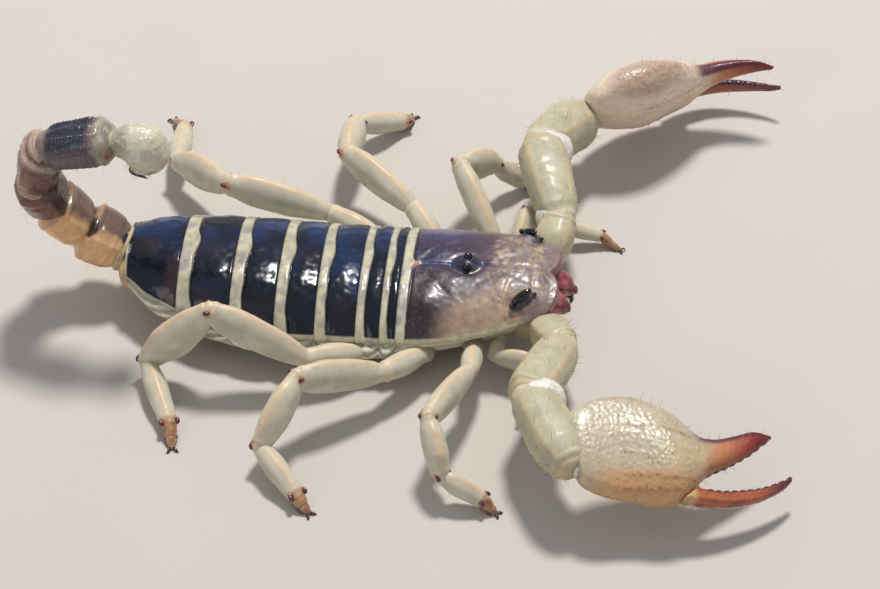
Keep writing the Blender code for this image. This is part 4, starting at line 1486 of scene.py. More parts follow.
@dataclass
class Pedipalp:
    """One claw arm: trochanter, femur, patella, hand with its fixed finger, and movable finger."""

    side: str
    pose: tuple
    roll_deg: float
    curl: tuple[float, float]  # where the fingers start to bend inwards, and how sharply
    bulk: Triple  # share added to the thickness behind and in front, then skew
    bristles: Bristles
    finger_out: float = 0.7  # how far the movable finger lies outside the plane of the hand
    hand_size: tuple[int, int] = (230, 170)
    tooth_mm: float = 0.8
    keels: tuple = ((-2.0, -1.9), (-0.6, -0.9), (4.6, 3.6))  # rise at the wrist and at the fingers
    hip: Triple = (13.6, 4.2, 4.8)
    lengths: tuple[float, ...] = (5.3, 9.1, 9.5, 11.4)
    trochanter: tuple = ((0.0, 1.3, 1.4), (0.5, 1.95, 2.05), (0.9, 1.75, 1.8), (1.0, 1.5, 1.6))
    femur: tuple = (
        (0.0, 1.6, 1.5), (0.1, 2.05, 1.9), (0.35, 2.3, 2.1),
        (0.75, 2.45, 2.15), (0.93, 2.3, 2.0), (1.0, 1.9, 1.8),
    )
    patella: tuple = (
        (0.0, 1.8, 1.7), (0.1, 2.15, 2.05), (0.3, 2.4, 2.35),
        (0.75, 2.5, 2.35), (0.94, 1.9, 1.8), (1.0, 1.4, 1.4),
    )
    hand: tuple = (
        ((0.5, -0.8), (0.1, 1.0), 0.9), ((1.1, -1.7), (-0.5, 3.0), 1.35), ((2.0, -2.2), (-0.6, 4.7), 1.6),
        ((3.4, -2.6), (0.4, 6.0), 1.95), ((4.9, -2.8), (2.5, 7.0), 2.2), ((6.8, -3.0), (5.2, 7.4), 2.45),
        ((8.6, -3.1), (8.0, 6.8), 2.65), ((9.9, -2.8), (9.9, 5.8), 2.55),
        ((10.8, -2.3), (11.4, 4.7), 2.25), ((11.8, -1.2), (12.4, 4.0), 1.75),
        ((13.0, 0.3), (13.9, 3.9), 1.3), ((15.1, 1.5), (15.7, 4.4), 0.95),
        ((17.2, 2.9), (17.7, 5.1), 0.6), ((18.9, 4.4), (19.3, 4.95), 0.28),
    )  # lower and upper outline points (along, rise), and half thickness
    finger: tuple = (
        ((10.4, -2.8), (12.0, -1.1), 1.0), ((12.6, -2.9), (13.6, -1.3), 1.05),
        ((15.2, -2.75), (15.5, -1.15), 0.85), ((18.1, -1.85), (18.1, -0.6), 0.65),
        ((20.4, -0.5), (20.2, 0.3), 0.42), ((21.4, 0.6), (21.2, 0.9), 0.2),
    )

    def build(self, finishes: Finishes) -> None:
        """Builds the arm's pieces.

        Args:
            finishes: the ones named waxy, pebbled, hard and skin.
        """
        sign = SIDES[self.side]
        hip = np.array(self.hip) * (1.0, sign, 1.0)
        links = chain(hip, self.lengths, self.pose)
        for k, (part, hairs) in enumerate((("trochanter", 30), ("femur", 84), ("patella", 84))):
            surface = self.segment(links[k], getattr(self, part))
            name, node = f"{self.side}_arm_{part}", f"pedipalp_{self.side}_{part}"
            make_piece(name, [surface], finishes["waxy"], (node,))
            self.bristles.grow(surface, hairs, (0.4, 1.0), 300 + k)
        self.build_joints(links, finishes)
        girth = ((0.0, 1.1, 1.1), (0.6, 1.75, 1.6), (1.0, 1.5, 1.5))
        coxa = Link(np.array((10.6, sign * 2.4, 3.7)), hip).tube(girth, (0.8, 0.8), (40, 48))
        coxa.push(0.06 * clouds(coxa.points, 1.0, 31)).paint("#b9a98c")
        coxa.tint("#cabd9f", ramp(clouds(coxa.points, 1.3, 32), -0.2, 0.8))
        make_piece(f"{self.side}_arm_coxa", [coxa], finishes["waxy"])
        self.build_hand(links[3], sign, finishes)

    def segment(self, link: Link, girth: tuple) -> Surface:
        """A broad pale segment with keels, bells at its four corners, and a lip at its far end.

        Args:
            link: where it lies.
            girth: its sections.

        Returns:
            The painted surface.
        """
        surface = link.tube(girth, (0.6 * girth[0][1], 0.5 * girth[-1][1]), (90, 80), 2.5)
        p = surface.points
        along, across, high = link.local(p)
        keel = bell(np.abs(np.abs(np.arctan2(high, across)) - math.pi / 2), math.pi / 4, 0.16)
        body = span(along, 0.04, 0.2, 0.86, 1.0)
        beads = 0.5 + 0.5 * np.sin(2.0 * np.pi * along * link.length / 0.55)
        lip = bell(along * link.length, link.length - 0.4, 0.25)
        lumps = 0.09 * clouds(p, 1.9, 33) + 0.02 * clouds(p, 0.6, 34)
        surface.push(keel * body * (0.1 + 0.02 * beads) + 0.1 * lip + lumps)
        p = surface.points
        surface.paint("#b8b094").tint("#a6a28a", 0.7 * body * ramp(clouds(p, 2.0, 35), -0.3, 0.8))
        surface.tint("#cdc6aa", 0.35 * body * ramp(np.abs(clouds(p, 1.1, 36)), 0.14, 0.0))
        surface.tint("#c9b088", 0.45 * keel * body).tint("#d3cbb2", 0.6 * ramp(along, 0.08, 0.0))
        return surface.tint("#cfb088", 0.5 * ramp(along, 0.95, 1.02))

    def build_joints(self, links: list[Link], finishes: Finishes) -> None:
        """White skins that bulge on the inner side of the bends, and the dark knobs beside them.

        Args:
            links: the arm's segments.
            finishes: the arm's finishes.
        """
        skins, knobs = [], []
        for before, after, size, apart in zip(links[:-1], links[1:], (1.8, 2.55, 1.15), (1.5, 1.7, 1.15)):
            inner = unit(after.axes[0] - before.axes[0])
            way = unit(before.axes[0] + after.axes[0])
            middle = before.end + inner * 0.45 * size + way * 0.35
            skin = dome(middle, inner, way, (size, size * 0.9, size * 0.95), 26)
            folds = pleat(skin, before.end, way, 0.7, 0.02)
            # painted shade in the grooves of the skin's pleats
            skins.append(skin.paint("#e6e2d6").tint("#c9c4b2", 0.3 * folds))
            up = unit(np.cross(way, inner))
            up = up if up[2] > 0 else -up
            for turn in (1.0, -1.0):
                place = before.end + inner * apart * 0.95 + up * turn * apart * 0.55
                knobs.append(dome(place, inner + up * turn, way, (0.34, 0.2, 0.2), 9).paint("#5c1a22"))
        make_piece(f"{self.side}_arm_joint_skins", skins, finishes["skin"])
        make_piece(f"{self.side}_arm_joint_knobs", knobs, finishes["hard"])

    def rings(self, rows: tuple, origin: Array, ways: tuple, size: tuple[int, int]) -> Array:
        """Sections of a hand or finger through its lower and upper outline points.

        A point is middle + half * cos(turn) + inwards * thickness * deep, where deep is sin(turn)^0.92,
        with its sign, times 1 - skew * cos(turn). Every outline point is moved inwards by
        sharpness * (along - start)^2 past the start of the curl.

        Args:
            rows: the sections.
            origin: the wrist.
            ways: directions along, to the fixed finger, and inwards.
            size: rows and columns wanted.

        Returns:
            rows x columns x 3.
        """
        table = np.array([(k, *low, *high, thick) for k, (low, high, thick) in enumerate(rows)])
        steps = np.linspace(0, len(rows) - 1, 400)
        fine = smooth_table(table, steps)
        apart = np.linalg.norm(np.diff((fine[:, :2] + fine[:, 2:4]) / 2, axis=0), axis=1)
        run = np.concatenate(((0.0,), np.cumsum(apart)))
        read = smooth_table(table, np.interp(np.linspace(0.0, run[-1], size[0]), run, steps))
        ends = []
        for reach, rise in (read[:, :2].T, read[:, 2:4].T):
            curl = self.curl[1] * np.maximum(0.0, reach - self.curl[0]) ** 2
            ends.append(origin + np.stack((reach, rise, curl), -1) @ np.array(ways))
        low, high = ends
        turn = turns(size[1])
        flat, deep = np.cos(turn), np.sign(np.sin(turn)) * np.abs(np.sin(turn)) ** 0.92
        deep = deep * (1.0 - self.bulk[2] * flat)
        mean = (read[:, 0] + read[:, 2]) / 2
        more = 1.0 + self.bulk[0] * bell(mean, 4.0, 3.0) + self.bulk[1] * bell(mean, 9.8, 2.5)
        middle, half = (low + high)[:, None] / 2, (high - low)[:, None] / 2
        return middle + half * flat[:, None] + ways[2] * ((read[:, 4] * more)[:, None] * deep)[..., None]

    def build_hand(self, link: Link, sign: float, finishes: Finishes) -> None:
        """Builds the hand, the movable finger and the skin in the fork between them.

        Args:
            link: the hand's stretch of the arm.
            sign: -1 on the right, 1 on the left.
            finishes: the arm's finishes.
        """
        wrist, (along, level, up) = link.start, link.axes
        outwards = level if level[1] * sign > 0 else -level
        up = up if up[2] > 0 else -up
        roll = math.radians(self.roll_deg)
        to_finger = up * math.sin(roll) - outwards * math.cos(roll)
        inwards = unit(np.cross(along, to_finger)) * sign
        ways = (along, to_finger, inwards)
        hand = Surface(round_off(self.rings(self.hand, wrist, ways, self.hand_size), 0.7, 0.25))
        self.dress_hand(hand, wrist, ways)
        side, node = self.side, f"pedipalp_{self.side}"
        make_piece(f"{side}_hand", [hand], finishes["pebbled"], (f"{node}_hand",))
        root = wrist - inwards * self.finger_out
        finger = Surface(round_off(self.rings(self.finger, root, ways, (150, 64)), 0.5, 0.15))
        self.dress_finger(finger, (finger.points - root) @ along)
        name = "movable_finger"
        make_piece(f"{side}_{name}", [finger], finishes["hard"], (f"{node}_{name}",))
        reach = (hand.points - wrist) @ along
        fork = wrist + along * 11.3 - to_finger * 1.5
        pad = dome(fork, unit(along + 0.3 * to_finger), to_finger, (1.5, 1.2, 1.2), 20)
        pad.push(0.05 * clouds(pad.points, 0.6, 48)).paint("#d8cdbf")
        make_piece(f"{side}_finger_skin", [pad], finishes["skin"])
        half = self.hand_size[1] // 2
        edge = np.abs(np.arange(2 * half) - half)[None, :] / half
        weight = ramp(reach, 2.0, 9.0) * (0.15 + edge**4 + (1 - edge) ** 6)
        self.bristles.grow(hand, 70, (0.4, 1.1), 330, weight)
        self.bristles.grow(finger, 30, (0.3, 0.8), 331)

    def teeth(self, edge: Array, reach: Array, base: float) -> Array:
        """A row of teeth along an edge, half waves |sin| on a low base."""
        return edge * (base + 0.13 * np.abs(np.sin(math.pi * reach / self.tooth_mm)))

    def dress_hand(self, hand: Surface, wrist: Array, ways: tuple) -> None:
        """Adds pebbles, keels, the ridge and teeth of the fixed finger, and colours the hand.

        Keels run from the wrist side to the finger bases as bells across lines in the hand's own plane;
        pebbles are granules.

        Args:
            hand: the surface.
            wrist: the hand's origin.
            ways: its directions along, to the fixed finger and inwards.
        """
        p = hand.points
        reach, rise = ((p - wrist) @ way for way in ways[:2])
        turn = np.broadcast_to(turns(p.shape[1]), reach.shape)
        opposite = (turn + math.pi) % (2.0 * math.pi)
        lower_edge, upper_edge = bell(turn, math.pi, 0.3), bell(opposite, math.pi, 0.3)
        on_finger = ramp(reach - 0.25 * rise, 10.4, 12.6)
        on_palm = (1.0 - on_finger) * ramp(reach, 0.8, 2.4)
        wander = 0.15 * clouds(p, 1.2, 41)
        keel = np.zeros_like(reach)
        for start, end in self.keels:
            line = start + (end - start) * np.clip((reach - 3.0) / 8.0, 0.0, 1.0)
            keel += bell(rise + wander, line, 0.2) * span(reach, 3.5, 5.5, 11.0, 12.5)
        pebble = granules(p, 0.5, 42)
        glint = bell(rise, 1.8, 2.2) * span(reach, 3.5, 6.5, 10.5, 12.5)
        rise_out = on_palm * ((0.03 + 0.06 * glint + 0.04 * keel) * pebble + 0.04 * keel)
        teeth = self.teeth(lower_edge * on_finger * ramp(reach, 12.2, 13.0), reach, 0.05)
        hand.push(rise_out + 0.16 * upper_edge * on_finger + teeth + 0.05 * clouds(p, 2.2, 43) * on_palm)
        right = self.side == "right"
        edges = np.clip(keel + 0.8 * upper_edge * on_palm, 0.0, 1.0)
        top = ramp(bell(opposite, math.pi, 0.85 if right else 0.55), 0.25, 0.8)
        # painted light: the left hand is painted much lighter than the right to stand in for light on its
        # face turned from the key lamp; its top edge, which the lamp does light, is tinted back darker
        hand.paint("#beb39a" if right else "#e4d2bd")
        for code, share in (
            ("#b3a88e" if right else "#d8c6ae", 0.7 * ramp(clouds(p, 2.5, 44), -0.3, 0.8)),
            ("#b09a86", 0.0 if right else 0.8 * ramp(rise, 5.4, 7.0)),
            ("#cf9f6c", 0.9 * ramp(rise + 0.5 * wander, 1.0, -1.6) * ramp(reach, 0.0, 4.0)),
            ("#c9ae7c", 0.6 * spot(reach, rise, (10.8, 1.6), (1.8, 1.6))),
            ("#8d4a30", 0.75 * edges * (0.3 + 0.7 * pebble) * on_palm),
            ("#7a3a30", 0.5 * ramp(granules(p, 0.9, 45), 0.88, 0.96) * on_palm),
            ("#c08056", ramp(reach - 0.35 * rise, 10.8, 13.4)),
            ("#983c2e", ramp(reach, 13.4, 17.5)),
            ("#5c2038", 0.95 * top * ramp(reach - 0.3 * rise, 9.4, 11.5)),
            ("#3a1624", 0.9 * ramp(lower_edge, 0.35, 0.8) * ramp(reach, 12.6, 13.6)),
            ("#6e1a20", ramp(reach, 16.6, 18.4)),
        ):
            hand.tint(code, share)

    def dress_finger(self, finger: Surface, reach: Array) -> None:
        """Adds the movable finger's teeth and side groove, and colours it.

        Args:
            finger: the surface.
            reach: each point's distance along from the wrist.
        """
        turn = np.broadcast_to(turns(reach.shape[1]), reach.shape)
        wide = {"right": 0.7, "left": 0.4}[self.side]
        inner_edge = bell((turn + math.pi) % (2 * math.pi), math.pi, wide)
        to_side, p = np.abs(turn - math.pi), finger.points
        teeth = self.teeth(inner_edge * ramp(reach, 12.4, 13.4), reach, 0.04)
        finger.push(teeth - 0.06 * bell(to_side, math.pi / 2, 0.25) + 0.02 * clouds(p, 0.6, 46))
        finger.paint("#a4502e").tint("#86382a", ramp(clouds(p, 1.2, 47), -0.2, 0.8))
        finger.tint("#b0653a", 0.7 * bell(to_side, math.pi / 2, 0.6) * ramp(reach, 18.5, 15.0))
        finger.tint("#2a1232", 0.97 * ramp(inner_edge, 0.2, 0.6) * ramp(reach, 12.0, 13.0))
        finger.tint("#c9a878", 0.8 * ramp(reach, 12.0, 11.2)).tint("#5e171c", ramp(reach, 17.8, 20.6))


# --- the tail


@dataclass
class Tail:
    """The five tail rings, the venom bulb and the sting."""

    bristles: Bristles
    joints: tuple = (
        (-28.3, 1.5, 5.7), (-31.9, 2.0, 7.6), (-34.9, 1.5, 11.2), (-36.0, -0.4, 15.8),
        (-34.7, -1.1, 20.8), (-28.2, -1.6, 22.9),
    )
    girth: tuple = ((3.0, 2.65), (2.75, 2.45), (2.6, 2.3), (2.55, 2.2), (2.4, 2.15))
    stations: tuple = ((0.0, 0.74), (0.12, 0.84), (0.3, 0.95), (0.75, 1.02), (0.92, 0.98), (1.0, 0.88))
    corners: tuple = ((0.2, 1.0), (0.8, 1.0), (-0.22, 0.7), (-0.78, 0.7), (-0.5, 0.5))
    last_corners: tuple = (
        (0.12, 0.4), (0.88, 0.4), (-0.34, 0.7), (-0.66, 0.7), (-0.5, 0.5), (-0.08, 0.5), (-0.92, 0.5)
    )  # where the keels lie, in half turns, and how high they stand
    rough: tuple[float, ...] = (0.0, 0.05, 0.15, 0.25, 1.0)  # these rows are for rings 1 to 5
    hairs: tuple[int, ...] = (10, 14, 30, 40, 22)
    flanks: tuple[str, ...] = ("#e2b184", "#d49f74", "#78443a", "#724038", "#574650")
    tops: tuple[str, ...] = ("#6b564a", "#6a5246", "#573834", "#523330", "#43383e")
    rims: tuple = (("#c9a27a", 0.6), ("#a07c66", 0.4), ("#7f665a", 0.3), ("#c9b4a2", 0.7), ("#a89a84", 0.4))
    # the spots are painted shade: near-black marks in the gaps at the tail's first joints
    spots: tuple = ((0.02, 0.58, 1), (0.97, 0.7, 1), (0.02, 0.7, 2))  # along, half turns round, ring
    bulb: tuple = (
        (-27.6, 22.9, 1.25, 4), (-26.3, 22.95, 1.85, 14), (-25.0, 22.6, 2.3, 42), (-24.4, 21.3, 2.1, 78),
        (-24.9, 20.2, 1.5, 108), (-25.6, 19.7, 0.8, 128),
    )  # x, height, radius, and degrees that the section's way on points down
    sting: tuple = (
        (-25.8, 19.7, 0.55, 128), (-26.15, 19.35, 0.36, 95), (-26.0, 18.95, 0.28, 55),
        (-25.4, 18.6, 0.18, 35), (-24.7, 18.3, 0.05, 28),
    )
    side: float = -1.6

    def build(self) -> None:
        """Builds the rings, their joint skins, the bulb and the sting."""
        amber, horny = AMBER.material(), HORNY.material()
        links = links_through(np.array(self.joints), LEFT)
        for number, link in enumerate(links, start=1):
            ring = self.ring(number, link)
            finish = amber if number < 3 else horny
            make_piece(f"tail_ring_{number}", [ring], finish, (f"metasoma_{number}",))
            self.bristles.grow(ring, self.hairs[number - 1], (0.6, 1.7), 500 + number)
        self.build_skins(links)
        self.build_telson()

    def ring(self, number: int, link: Link) -> Surface:
        """One tail ring: a squared barrel with keels along its corners and granules on the keels.

        Keels are bells of the turn round the section; the granules are half waves along them, stronger
        towards the tip of the tail. The far rim flares and turns in.

        Args:
            number: 1 at the trunk to 5 at the bulb.
            link: where it lies.

        Returns:
            The painted surface.
        """
        wide, high = self.girth[number - 1]
        girth = tuple((place, wide * share, high * share) for place, share in self.stations)
        surface = link.tube(girth, (1.0, 0.7), (110, 120), 2.3)
        p = surface.points
        along, across, up = link.local(p)
        turn, mm = np.arctan2(up / high, across / wide), along * link.length
        body = span(along, 0.06, 0.2, 0.88, 0.98)
        corners, pitch = (self.corners, 0.55) if number < 5 else (self.last_corners, 0.34)
        keel = np.zeros_like(along)
        for share, height in corners:
            keel += height * bell(np.angle(np.exp(1j * (turn - share * math.pi))), 0.0, 0.1)
        beads = np.abs(np.sin(math.pi * mm / pitch + 0.4 * clouds(p, 0.8, 51)))
        rough = self.rough[number - 1]
        rise = body * keel * ((0.06 if number < 3 else 0.12) + 0.16 * rough * beads)
        for height, place, width in (
            (0.09, link.length - 0.45, 0.28),
            (-0.06, link.length - 1.0, 0.3),
            (-0.05, 0.9, 0.25),
            (-0.12, link.length + 0.2, 0.2),
        ):
            rise += height * bell(mm, place, width)
        rise += (0.02 + 0.05 * rough) * body * granules(p, 0.5, 52) + 0.09 * clouds(p, 1.4, 53)
        if number < 5:
            rise -= 0.16 * body * bell(turn, math.pi / 2, 0.35)
        surface.push(rise)
        self.colour(surface, number, link, along, turn, keel)
        return surface

    def colour(
        self, surface: Surface, number: int, link: Link, along: Array, turn: Array, keel: Array
    ) -> None:
        """Colours a ring: orange tan and grey brown at the trunk, mauve brown on, navy at the last.

        Args:
            surface: the ring.
            number: 1 to 5.
            link: where it lies.
            along: place from 0 to 1.
            turn: angle round the section, a quarter turn at the inner side of the tail's arch.
            keel: height of the keels.
        """
        p, mm = surface.points, along * link.length
        patch, fine = clouds(p, 1.4, 54), clouds(p, 0.6, 55)
        inner, outer = np.sin(turn), -np.sin(turn)
        warm, dull = (1.0, 0.4) if number < 3 else (0.3, 0.9)
        layers = [
            (self.tops[number - 1], ramp(inner + 0.35 * patch, 0.15, 0.75)),
            ("#d8b184", 0.5 * ramp(patch - 0.4 * inner, 0.1, 0.8) * warm),
            ("#5a4038", 0.5 * ramp(fine, 0.2, 0.8) * dull),
        ]
        if number < 3:
            # painted light: the near side of the first two rings, turned from the key lamp, is painted
            # lighter
            layers.append(("#eebf8c", 0.9 * ramp(-np.cos(turn) - 0.3 * inner + 0.2 * patch, 0.1, 0.7)))
        elif number < 5:
            layers += [
                ("#8a6a60", 0.35 * ramp(outer, 0.0, 0.9)),
                ("#3d2626", 0.6 * ramp(inner, 0.5, 1.0)),
                ("#42262c", 0.6 * ramp(fine + 0.5 * patch, 0.0, 0.9)),
                ("#c8843f", 0.5 * bell(along, 0.02, 0.05)),
            ]
        else:
            stripe = ramp(outer + 0.15 * fine, 0.4, 0.7) * span(along, 0.1, 0.2, 0.74, 0.86)
            corner = link.end - 1.9 * link.axes[1] + 0.4 * link.axes[2]
            away = np.linalg.norm(p - corner, axis=-1)
            ends = np.maximum(0.7 * ramp(along, 0.16, 0.05), ramp(along + 0.05 * fine, 0.8, 0.95))
            layers += [
                ("#141a30", 0.97 * stripe),
                ("#22345c", 0.5 * stripe * ramp(patch, 0.0, 0.8)),
                ("#3b3a4c", 0.45 * stripe * np.clip(keel, 0.0, 1.0)),
                ("#9c9083", 0.8 * ends),
                ("#c8c2b0", 0.6 * ramp(along, 0.88, 1.0) * ramp(fine, -0.2, 0.6)),
                ("#b9763a", 0.8 * ramp(away, 0.6, 0.3)),
                ("#7a1f1c", ramp(away, 0.32, 0.15)),
            ]
        rim, strength = self.rims[number - 1]
        layers.append((rim, strength * bell(mm, link.length - 0.25, 0.3)))
        # painted shade: near-black spots in the joint gaps
        for place, way, ring in self.spots:
            if ring == number:
                hill = bell(mm, place * link.length, 0.75) * bell(turn, way * math.pi, 0.42)
                layers.append(("#140f0e", 0.96 * ramp(hill + 0.12 * fine, 0.3, 0.6)))
        surface.paint(self.flanks[number - 1])
        for code, share in layers:
            surface.tint(code, share)

    def build_skins(self, links: list[Link]) -> None:
        """Pale pleated skins in the joints of the tail, and the cream one at the bulb.

        Args:
            links: the tail's segments.
        """
        made = []
        for k, link in enumerate(links):
            wide, high = self.girth[k]
            way, across, _ = link.axes
            before = links[k - 1].axes[0] if k else np.array((-1.0, 0.1, 0.1))
            way = unit(way + before)
            skin = dome(link.start, way, across, (0.84 * wide, 0.84 * high, 1.0), 30)
            folds = pleat(skin, link.start, way, 0.42, 0.04)
            # painted shade in the grooves of each skin's pleats
            made.append(skin.paint("#d3bd97" if k < 2 else "#b79f8a").tint("#8b715c", 0.5 * folds))
        last = links[-1]
        made.append(dome(last.end, last.axes[0], last.axes[1], (1.5, 1.5, 0.9), 24).paint("#c9bf9d"))
        make_piece("tail_joint_skins", made, SKIN.material())

    def horn(self, stops: tuple, rows: int, columns: int) -> Array:
        """Round sections, each square to its own way on.

        Args:
            stops: x, height, radius and downward pitch in degrees at a few places.
            rows: sections wanted.
            columns: points round each.

        Returns:
            rows x columns x 3.
        """
        table = [(k, *stop) for k, stop in enumerate(stops)]
        x, height, radius, pitch = smooth_table(table, np.linspace(0, len(stops) - 1, rows)).T
        pitch = np.radians(pitch)
        up = np.stack((np.sin(pitch), 0.0 * pitch, np.cos(pitch)), -1)
        centres = np.stack((x, np.full(rows, self.side), height), -1)
        return sweep(centres, LEFT, up, np.stack((radius, radius), -1), columns)

    def build_telson(self) -> None:
        """Builds the swollen bulb with its low granules, and the thin dark sting."""
        bulb = Surface(round_off(self.horn(self.bulb, 100, 90), 0.5, 0.4))
        p = bulb.points
        x, away = p[..., 0], np.linalg.norm(p - (-24.0, self.side - 1.7, 20.6), axis=-1)
        swell = 0.08 * granules(p, 0.6, 56) + 0.07 * clouds(p, 1.5, 57)
        bulb.push(swell + 0.02 * ramp(x, -25.0, -26.5) * granules(p, 0.4, 58))
        bulb.paint("#cac5b0").tint("#b5ae97", 0.6 * ramp(clouds(p, 1.6, 58), -0.2, 0.8))
        bulb.tint("#e2ddcc", 0.6 * ramp(clouds(p, 0.45, 59), 0.2, 0.9))
        bulb.tint("#a2978a", 0.75 * ramp(x + 0.3 * clouds(p, 0.5, 60), -25.8, -27.2))
        bulb.tint("#b5763c", 0.8 * ramp(away, 0.6, 0.2))
        bulb.tint("#8a5a34", ramp(p[..., 2], 19.5, 18.9) * ramp(x, -25.0, -25.8))
        make_piece("venom_bulb", [bulb], BULB.material(), ("telson_vesicle",))
        self.bristles.grow(bulb, 40, (0.5, 1.4), 510)
        sting = Surface(round_off(self.horn(self.sting, 60, 24), 0.2, 0.05))
        sting.paint("#6b3a22").tint("#1c0b0a", ramp(sting.points[..., 2], 19.6, 19.2))
        make_piece("sting", [sting], HARDENED.material(), ("telson_aculeus",))


# --- studio


@dataclass
class Studio:
    """A plain pale floor, soft overhead light and the camera, in mm and degrees."""

    target: Triple = (3.04, 3.9, 0.0)  # what the camera looks at
    azimuth_deg: float = 5.8
    elevation_deg: float = 44.5
    distance: float = 400.0
    lens_mm: float = 163.636
    floor_mm: float = 3000.0
    floor_tone: str = "#c8c1bb"

    def stand(
        self, name: str, data: bpy.types.ID, centre: Array, azimuth: float, rise: float, away: float
    ) -> Thing:
        """Stands a lamp or a camera round a point and turns it to that point.

        Args:
            name: its name.
            data: the lamp or the camera.
            centre: the point in metres.
            azimuth: 0 is on the animal's right side, in degrees.
            rise: elevation in degrees.
            away: distance in metres.

        Returns:
            Its object.
        """
        a, e = math.radians(azimuth), math.radians(rise)
        back = Vector((math.sin(a) * math.cos(e), -math.cos(a) * math.cos(e), math.sin(e)))
        thing = bpy.data.objects.new(name, data)
        thing.location = Vector(centre) + back * away
        thing.rotation_mode = "QUATERNION"
        thing.rotation_quaternion = (-back).to_track_quat("-Z", "Y")
        bpy.context.scene.collection.objects.link(thing)
        return thing

    def build_floor(self) -> None:
        """A wide matt floor, faintly mottled like cast plaster."""
        corners = np.array(((-1, -1, 0), (1, -1, 0), (1, 1, 0), (-1, 1, 0))) * self.floor_mm / 2
        floor = new_mesh("floor", corners, [np.array(((0, 1, 2, 3),))])
        made, tree, place = new_material("matt_cast_plaster")
        noise = add_node(tree, "ShaderNodeTexNoise", {"Scale": 60.0, "Detail": 5.0}, {"Vector": place})
        tone = linear(self.floor_tone)
        settings = {"data_type": "RGBA", 6: (*(tone * 0.96), 1.0), 7: (*tone, 1.0)}
        blend = add_node(tree, "ShaderNodeMix", settings, {0: noise.outputs["Fac"]})
        shader = tree.nodes["Principled BSDF"]
        tree.links.new(blend.outputs[2], shader.inputs["Base Color"])
        shader.inputs["Roughness"].default_value = 0.9
        shader.inputs["Specular IOR Level"].default_value = 0.2
        floor.data.materials.append(made)

    def build_lights(self) -> None:
        """A small key softbox high on the far side, a weak one on the near side, and a pale room."""
        for name, azimuth, rise, away, size, power, tint in (
            ("key", 172.0, 68.0, 0.55, 0.09, 2.8, (1.0, 0.98, 0.95)),
            ("near_fill", -40.0, 28.0, 0.7, 0.3, 0.42, (1.0, 0.99, 0.97)),
        ):
            lamp = bpy.data.lights.new(name, "AREA")
            lamp.shape, lamp.size, lamp.energy, lamp.color = "DISK", size, power, tint
            self.stand(name, lamp, SHIFT * MM, azimuth, rise, away)
        world = bpy.data.worlds.new("pale_room")
        world.use_nodes = True
        shade = world.node_tree.nodes["Background"]
        shade.inputs["Color"].default_value = (0.93, 0.96, 1.0, 1.0)
        shade.inputs["Strength"].default_value = 0.42
        bpy.context.scene.world = world

    def build_camera(self) -> None:
        """A long lens above the right side, with everything sharp."""
        data = bpy.data.cameras.new("camera")
        data.lens, data.sensor_width, data.sensor_fit = self.lens_mm, 36.0, "HORIZONTAL"
        data.clip_start, data.clip_end = 0.01, 10.0
        centre, away = (self.target + SHIFT) * MM, self.distance * MM
        camera = self.stand("camera", data, centre, self.azimuth_deg, self.elevation_deg, away)
        bpy.context.scene.camera = camera
        bpy.context.scene.view_settings.view_transform = "Standard"

    def build(self) -> None:
        """Builds the floor, the lights and the camera."""
        self.build_floor()
        self.build_lights()
        self.build_camera()


# Legs: hip and segment lengths of femur, patella, tibia and foot by pair, and how thick they are.
HIPS = {1: (9.9, 5.4, 3.5), 2: (7.5, 6.9, 3.6), 3: (2.6, 7.7, 3.2), 4: (-3.4, 8.0, 3.2)}
LEG_LENGTHS = {
    1: (4.5, 4.8, 3.8, 2.3),
    2: (9.3, 5.6, 4.6, 1.7),
    3: (9.3, 7.4, 6.3, 1.9),
    4: (10.7, 9.2, 7.9, 2.4),
}
LEG_GIRTH = {1: 0.66, 2: 0.9, 3: 1.0, 4: 1.0}
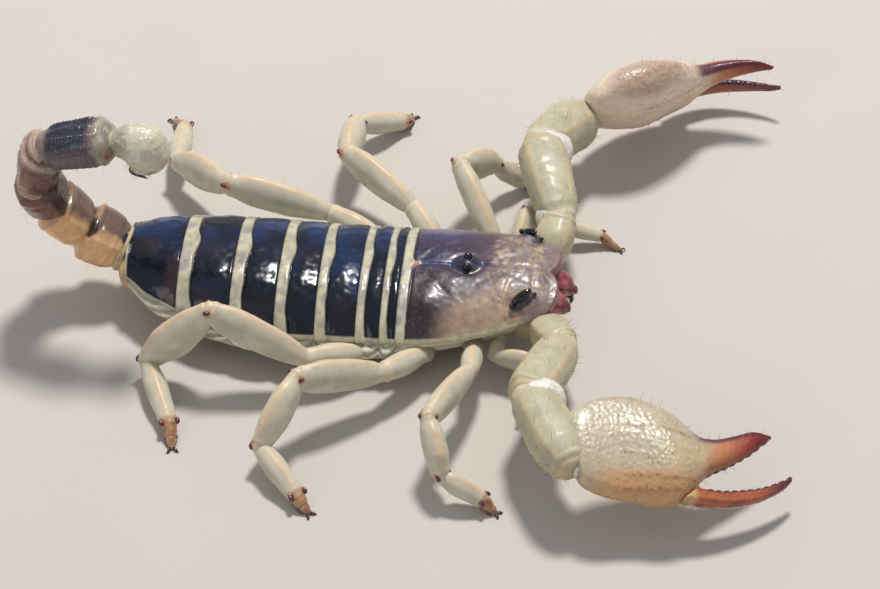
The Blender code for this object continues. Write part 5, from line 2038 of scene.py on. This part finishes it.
# Pose: length of the trochanter, then bearing in degrees and end height of each segment.
LEG_POSES = {
    ("right", 1): (2.0, (253, 3.2), (352, 3.2), (258, 2.2), (322, 1.1), (310, 0.15)),
    ("left", 1): (2.0, (75, 3.8), (82, 4.9), (12, 2.3), (5, 1.1), (337, 0.15)),
    ("right", 2): (4.6, (269, 5.0), (250, 6.9), (293, 3.3), (349, 1.2), (337, 0.15)),
    ("left", 2): (1.4, (60, 3.4), (121, 7.4), (45, 4.6), (25, 1.1), (32, 0.15)),
    ("right", 3): (5.4, (228, 4.2), (209, 7.0), (241, 2.8), (312, 1.2), (318, 0.15)),
    ("left", 3): (5.3, (127, 4.3), (143, 5.9), (88, 3.6), (40, 1.0), (64, 0.15)),
    ("right", 4): (5.8, (204, 4.0), (177, 9.1), (186, 2.3), (294, 1.2), (284, 0.15)),
    ("left", 4): (5.8, (157, 4.2), (175, 6.3), (136, 3.3), (93, 1.0), (126, 0.15)),
}
# Arms: bearing and end height of each segment, then the hand's roll, curl and bulk.
ARM_POSES = {
    "right": (((300, 6.4), (254, 8.2), (300, 7.5), (10, 5.2)), 26.0, (9.0, 0.007), (-0.3, 0.06, 0.35)),
    "left": (((79, 6.8), (108, 8.6), (63, 5.7), (32, 4.9)), 66.0, (12.8, 0.05), (0.26, -0.2, 0.0)),
}


def main() -> None:
    """Builds the animal from the trunk out, then the studio."""
    trunk = Trunk()
    Tergites(trunk).build()
    HeadShield(trunk).build()
    SoftBody(trunk).build()
    build_combs()
    Head(trunk).build()
    leg_hair = Bristles("leg_bristles", "#8a6e54", thick_mm=0.014)
    arm_hair = Bristles("arm_bristles", "#6a4c34", thick_mm=0.02)
    tail_hair = Bristles("tail_bristles", "#b9a07c", thick_mm=0.016)
    waxy, hard = WAXY.material(), HARDENED.material()
    for side in SIDES:
        coxae = []
        for number in HIPS:
            trochanter, *pose = LEG_POSES[(side, number)]
            lengths = (trochanter, *LEG_LENGTHS[number])
            leg = Leg(side, number, HIPS[number], lengths, tuple(pose), LEG_GIRTH[number], leg_hair)
            coxae.append(leg.build(waxy, hard))
        make_piece(f"{side}_leg_coxae", coxae, waxy)
    finishes = {"waxy": waxy, "hard": hard, "pebbled": PEBBLED.material(), "skin": SKIN.material()}
    for side, settings in ARM_POSES.items():
        Pedipalp(side, *settings, arm_hair).build(finishes)
    Tail(tail_hair).build()
    leg_hair.build("leg")
    arm_hair.build("pedipalp_arm")
    tail_hair.build("tail")
    Studio().build()


if __name__ == "__main__":
    logging.basicConfig(level=logging.INFO, format="%(message)s")
    main()
